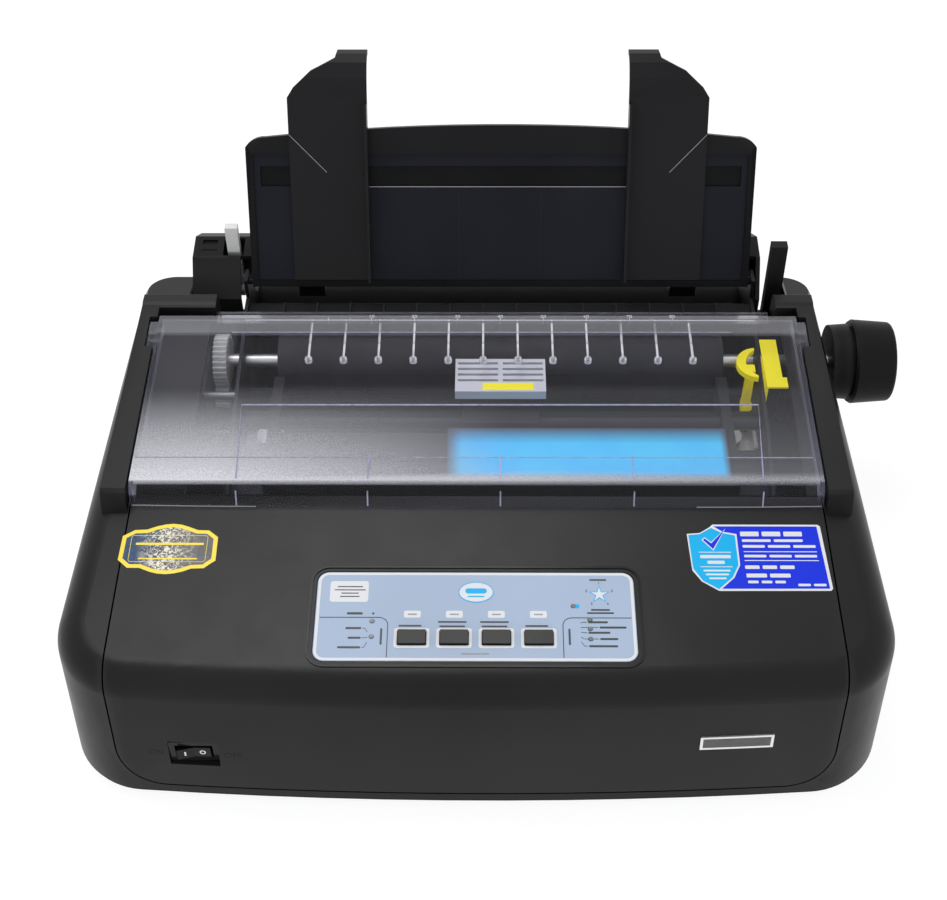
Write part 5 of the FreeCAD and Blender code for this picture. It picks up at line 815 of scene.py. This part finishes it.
def draped(name, node, middle, size, look, body, lift=0.06, steps=12):
    """A thin field that follows a bowed front."""
    (x, z), (wide, tall) = middle, size
    form = bmesh.new()
    rows = []
    for level in (-0.5, 0.5):
        row = []
        for step in range(steps + 1):
            spot = front_spot(node, x + wide * (step / steps - 0.5), z + tall * level)
            row.append(form.verts.new(spot @ Vector((0, 0, lift * MM))))
        rows.append(row)
    for step in range(steps):
        form.faces.new((rows[0][step], rows[0][step + 1], rows[1][step + 1], rows[1][step]))
    bmesh.ops.solidify(form, geom=list(form.faces), thickness=lift * MM / 2)
    bmesh.ops.recalc_face_normals(form, faces=list(form.faces))
    mesh = bpy.data.meshes.new(name)
    form.to_mesh(mesh)
    form.free()
    return new_piece(name, mesh, look, body)


def front_marks():
    """The bare field of the front plate and the marks of the power switch."""
    bpy.context.view_layer.update()
    draped("badge_field", NODES["badge_plate"], (133, 48.5), (34.6, 6.4), "plate_grey", "case")
    rocker, switch_z, thick = NODES["power_rocker"], 36.6, 0.06
    bar = round_box(0, 0, 0.8, 3.6, 0.3, 3)
    slab("switch_bar", bar, front_spot(rocker, -149.3, switch_z), "paper", "rocker", thick)
    ring, hole = (ellipse(0, 0, wide, tall, 24) for wide, tall in ((3.2, 3.6), (1.8, 2.2)))
    slab("switch_ring", ring, front_spot(rocker, -140.4, switch_z), "paper", "rocker", thick, (hole,))
    for word, x in (("ON", -164.4), ("OFF", -124.6)):
        place = front_spot(NODES["front_cover"], x, switch_z)
        lettering("switch_" + word, word, 5.2, 0.05, "gloss", place, "case")


# Studio


FLOOR_HALF = 3.0
FLOOR_COLOUR = (0.93, 0.93, 0.93)
FLOOR_LIGHT = 1.14
FLOOR_LIGHT_SHARE = 0.78
WHITE = (1.0, 1.0, 1.0)
SKY_COLOUR = (0.9, 0.93, 1.0)
SKY_STRENGTH = 0.36

# Each lamp's name, place, target, size, power, and whether shiny faces show it
LAMPS = (
    ("key_softbox", (-0.24, 0.32, 1.20), (0, -0.06, 0.09), (0.80, 0.40), 6.2, True),
    ("front_fill", (0.0, -1.4, 0.5), (0, 0, 0.05), (1.6, 0.5), 7, False),
    ("left_fill", (-1.3, 0.1, 1.0), (0, 0, 0.05), (0.8, 0.9), 4, False),
    ("right_fill", (1.3, -0.1, 0.8), (0, 0, 0.05), (0.8, 0.9), 4, False),
)


def studio():
    """A pale floor, a white surround and soft lamps."""
    form = bmesh.new()
    bmesh.ops.create_grid(form, x_segments=1, y_segments=1, size=FLOOR_HALF)
    mesh = bpy.data.meshes.new("floor")
    form.to_mesh(mesh)
    form.free()
    floor = bpy.data.objects.new("floor", mesh)
    bpy.context.scene.collection.objects.link(floor)
    made = Shader("floor_white")
    plain = made.surface(FLOOR_COLOUR, 0.9, Specular_IOR_Level=0.0)
    lifted = made.add("ShaderNodeEmission")
    lifted.inputs["Color"].default_value = (*WHITE, 1)
    lifted.inputs["Strength"].default_value = FLOOR_LIGHT
    seen, mirrored = made.rays()
    share = made.count("MULTIPLY", made.count("MAXIMUM", seen, mirrored), FLOOR_LIGHT_SHARE)
    made.link(made.mix(plain.outputs[0], lifted.outputs[0], share), made.out.inputs["Surface"])
    mesh.materials.append(made.material)

    world = bpy.data.worlds.new("studio")
    bpy.context.scene.world = world
    around = Nodes(world)

    def sky(colour, strength):
        node = around.add("ShaderNodeBackground")
        node.inputs[0].default_value = (*colour, 1)
        node.inputs[1].default_value = strength
        return node.outputs[0]

    seen, mirrored = around.rays()
    soft = around.mix(sky(SKY_COLOUR, SKY_STRENGTH), sky(WHITE, 1.0), mirrored)
    out = around.add("ShaderNodeOutputWorld")
    around.link(around.mix(soft, sky(WHITE, 1.0), seen), out.inputs[0])

    for lamp in LAMPS:
        add_lamp(*lamp)


def add_lamp(name, place, target, size, power, mirrored):
    """A rectangular lamp that looks at a target; a mirrored one shows in shiny faces."""
    lamp = bpy.data.lights.new(name, "AREA")
    lamp.shape = "RECTANGLE"
    lamp.size, lamp.size_y = size
    lamp.energy = power
    item = bpy.data.objects.new(name, lamp)
    item.visible_glossy = mirrored
    item.location = place
    item.rotation_euler = (Vector(target) - Vector(place)).to_track_quat("-Z", "Y").to_euler()
    bpy.context.scene.collection.objects.link(item)


# The camera as fitted to the photograph: its place in the CAD's millimetres, its angles in degrees, and its
# lens and sensor in millimetres
CAMERA_PLACE = (5.36, -431.47, 722.49)
CAMERA_DOWN = 46.5
CAMERA_YAW = -0.68
CAMERA_ROLL = -0.4
CAMERA_LENS = 58.92
CAMERA_SENSOR = 36


def camera():
    """The camera of the photograph."""
    down, yaw, roll = (math.radians(angle) for angle in (CAMERA_DOWN, CAMERA_YAW, CAMERA_ROLL))
    ahead = Vector((math.sin(yaw) * math.cos(down), math.cos(yaw) * math.cos(down), -math.sin(down)))
    level = Vector((math.cos(yaw), -math.sin(yaw), 0))
    upward = level.cross(ahead)
    right = level * math.cos(roll) + upward * math.sin(roll)
    top = upward * math.cos(roll) - level * math.sin(roll)
    lens = bpy.data.cameras.new("photo_camera")
    lens.sensor_width = CAMERA_SENSOR
    lens.lens = CAMERA_LENS
    lens.clip_start = 0.05
    lens.clip_end = 20
    item = bpy.data.objects.new("photo_camera", lens)
    turned = Matrix((right, top, -ahead)).transposed().to_4x4()
    item.matrix_world = Matrix.Translation(at(*CAMERA_PLACE)) @ turned
    bpy.context.scene.collection.objects.link(item)
    bpy.context.scene.camera = item


dress_nodes()
panel_prints()
stickers()
inner_labels()
scale_marks()
guide_lines()
lid_lines()
front_marks()
studio()
camera()
bpy.context.scene.view_settings.view_transform = "Standard"
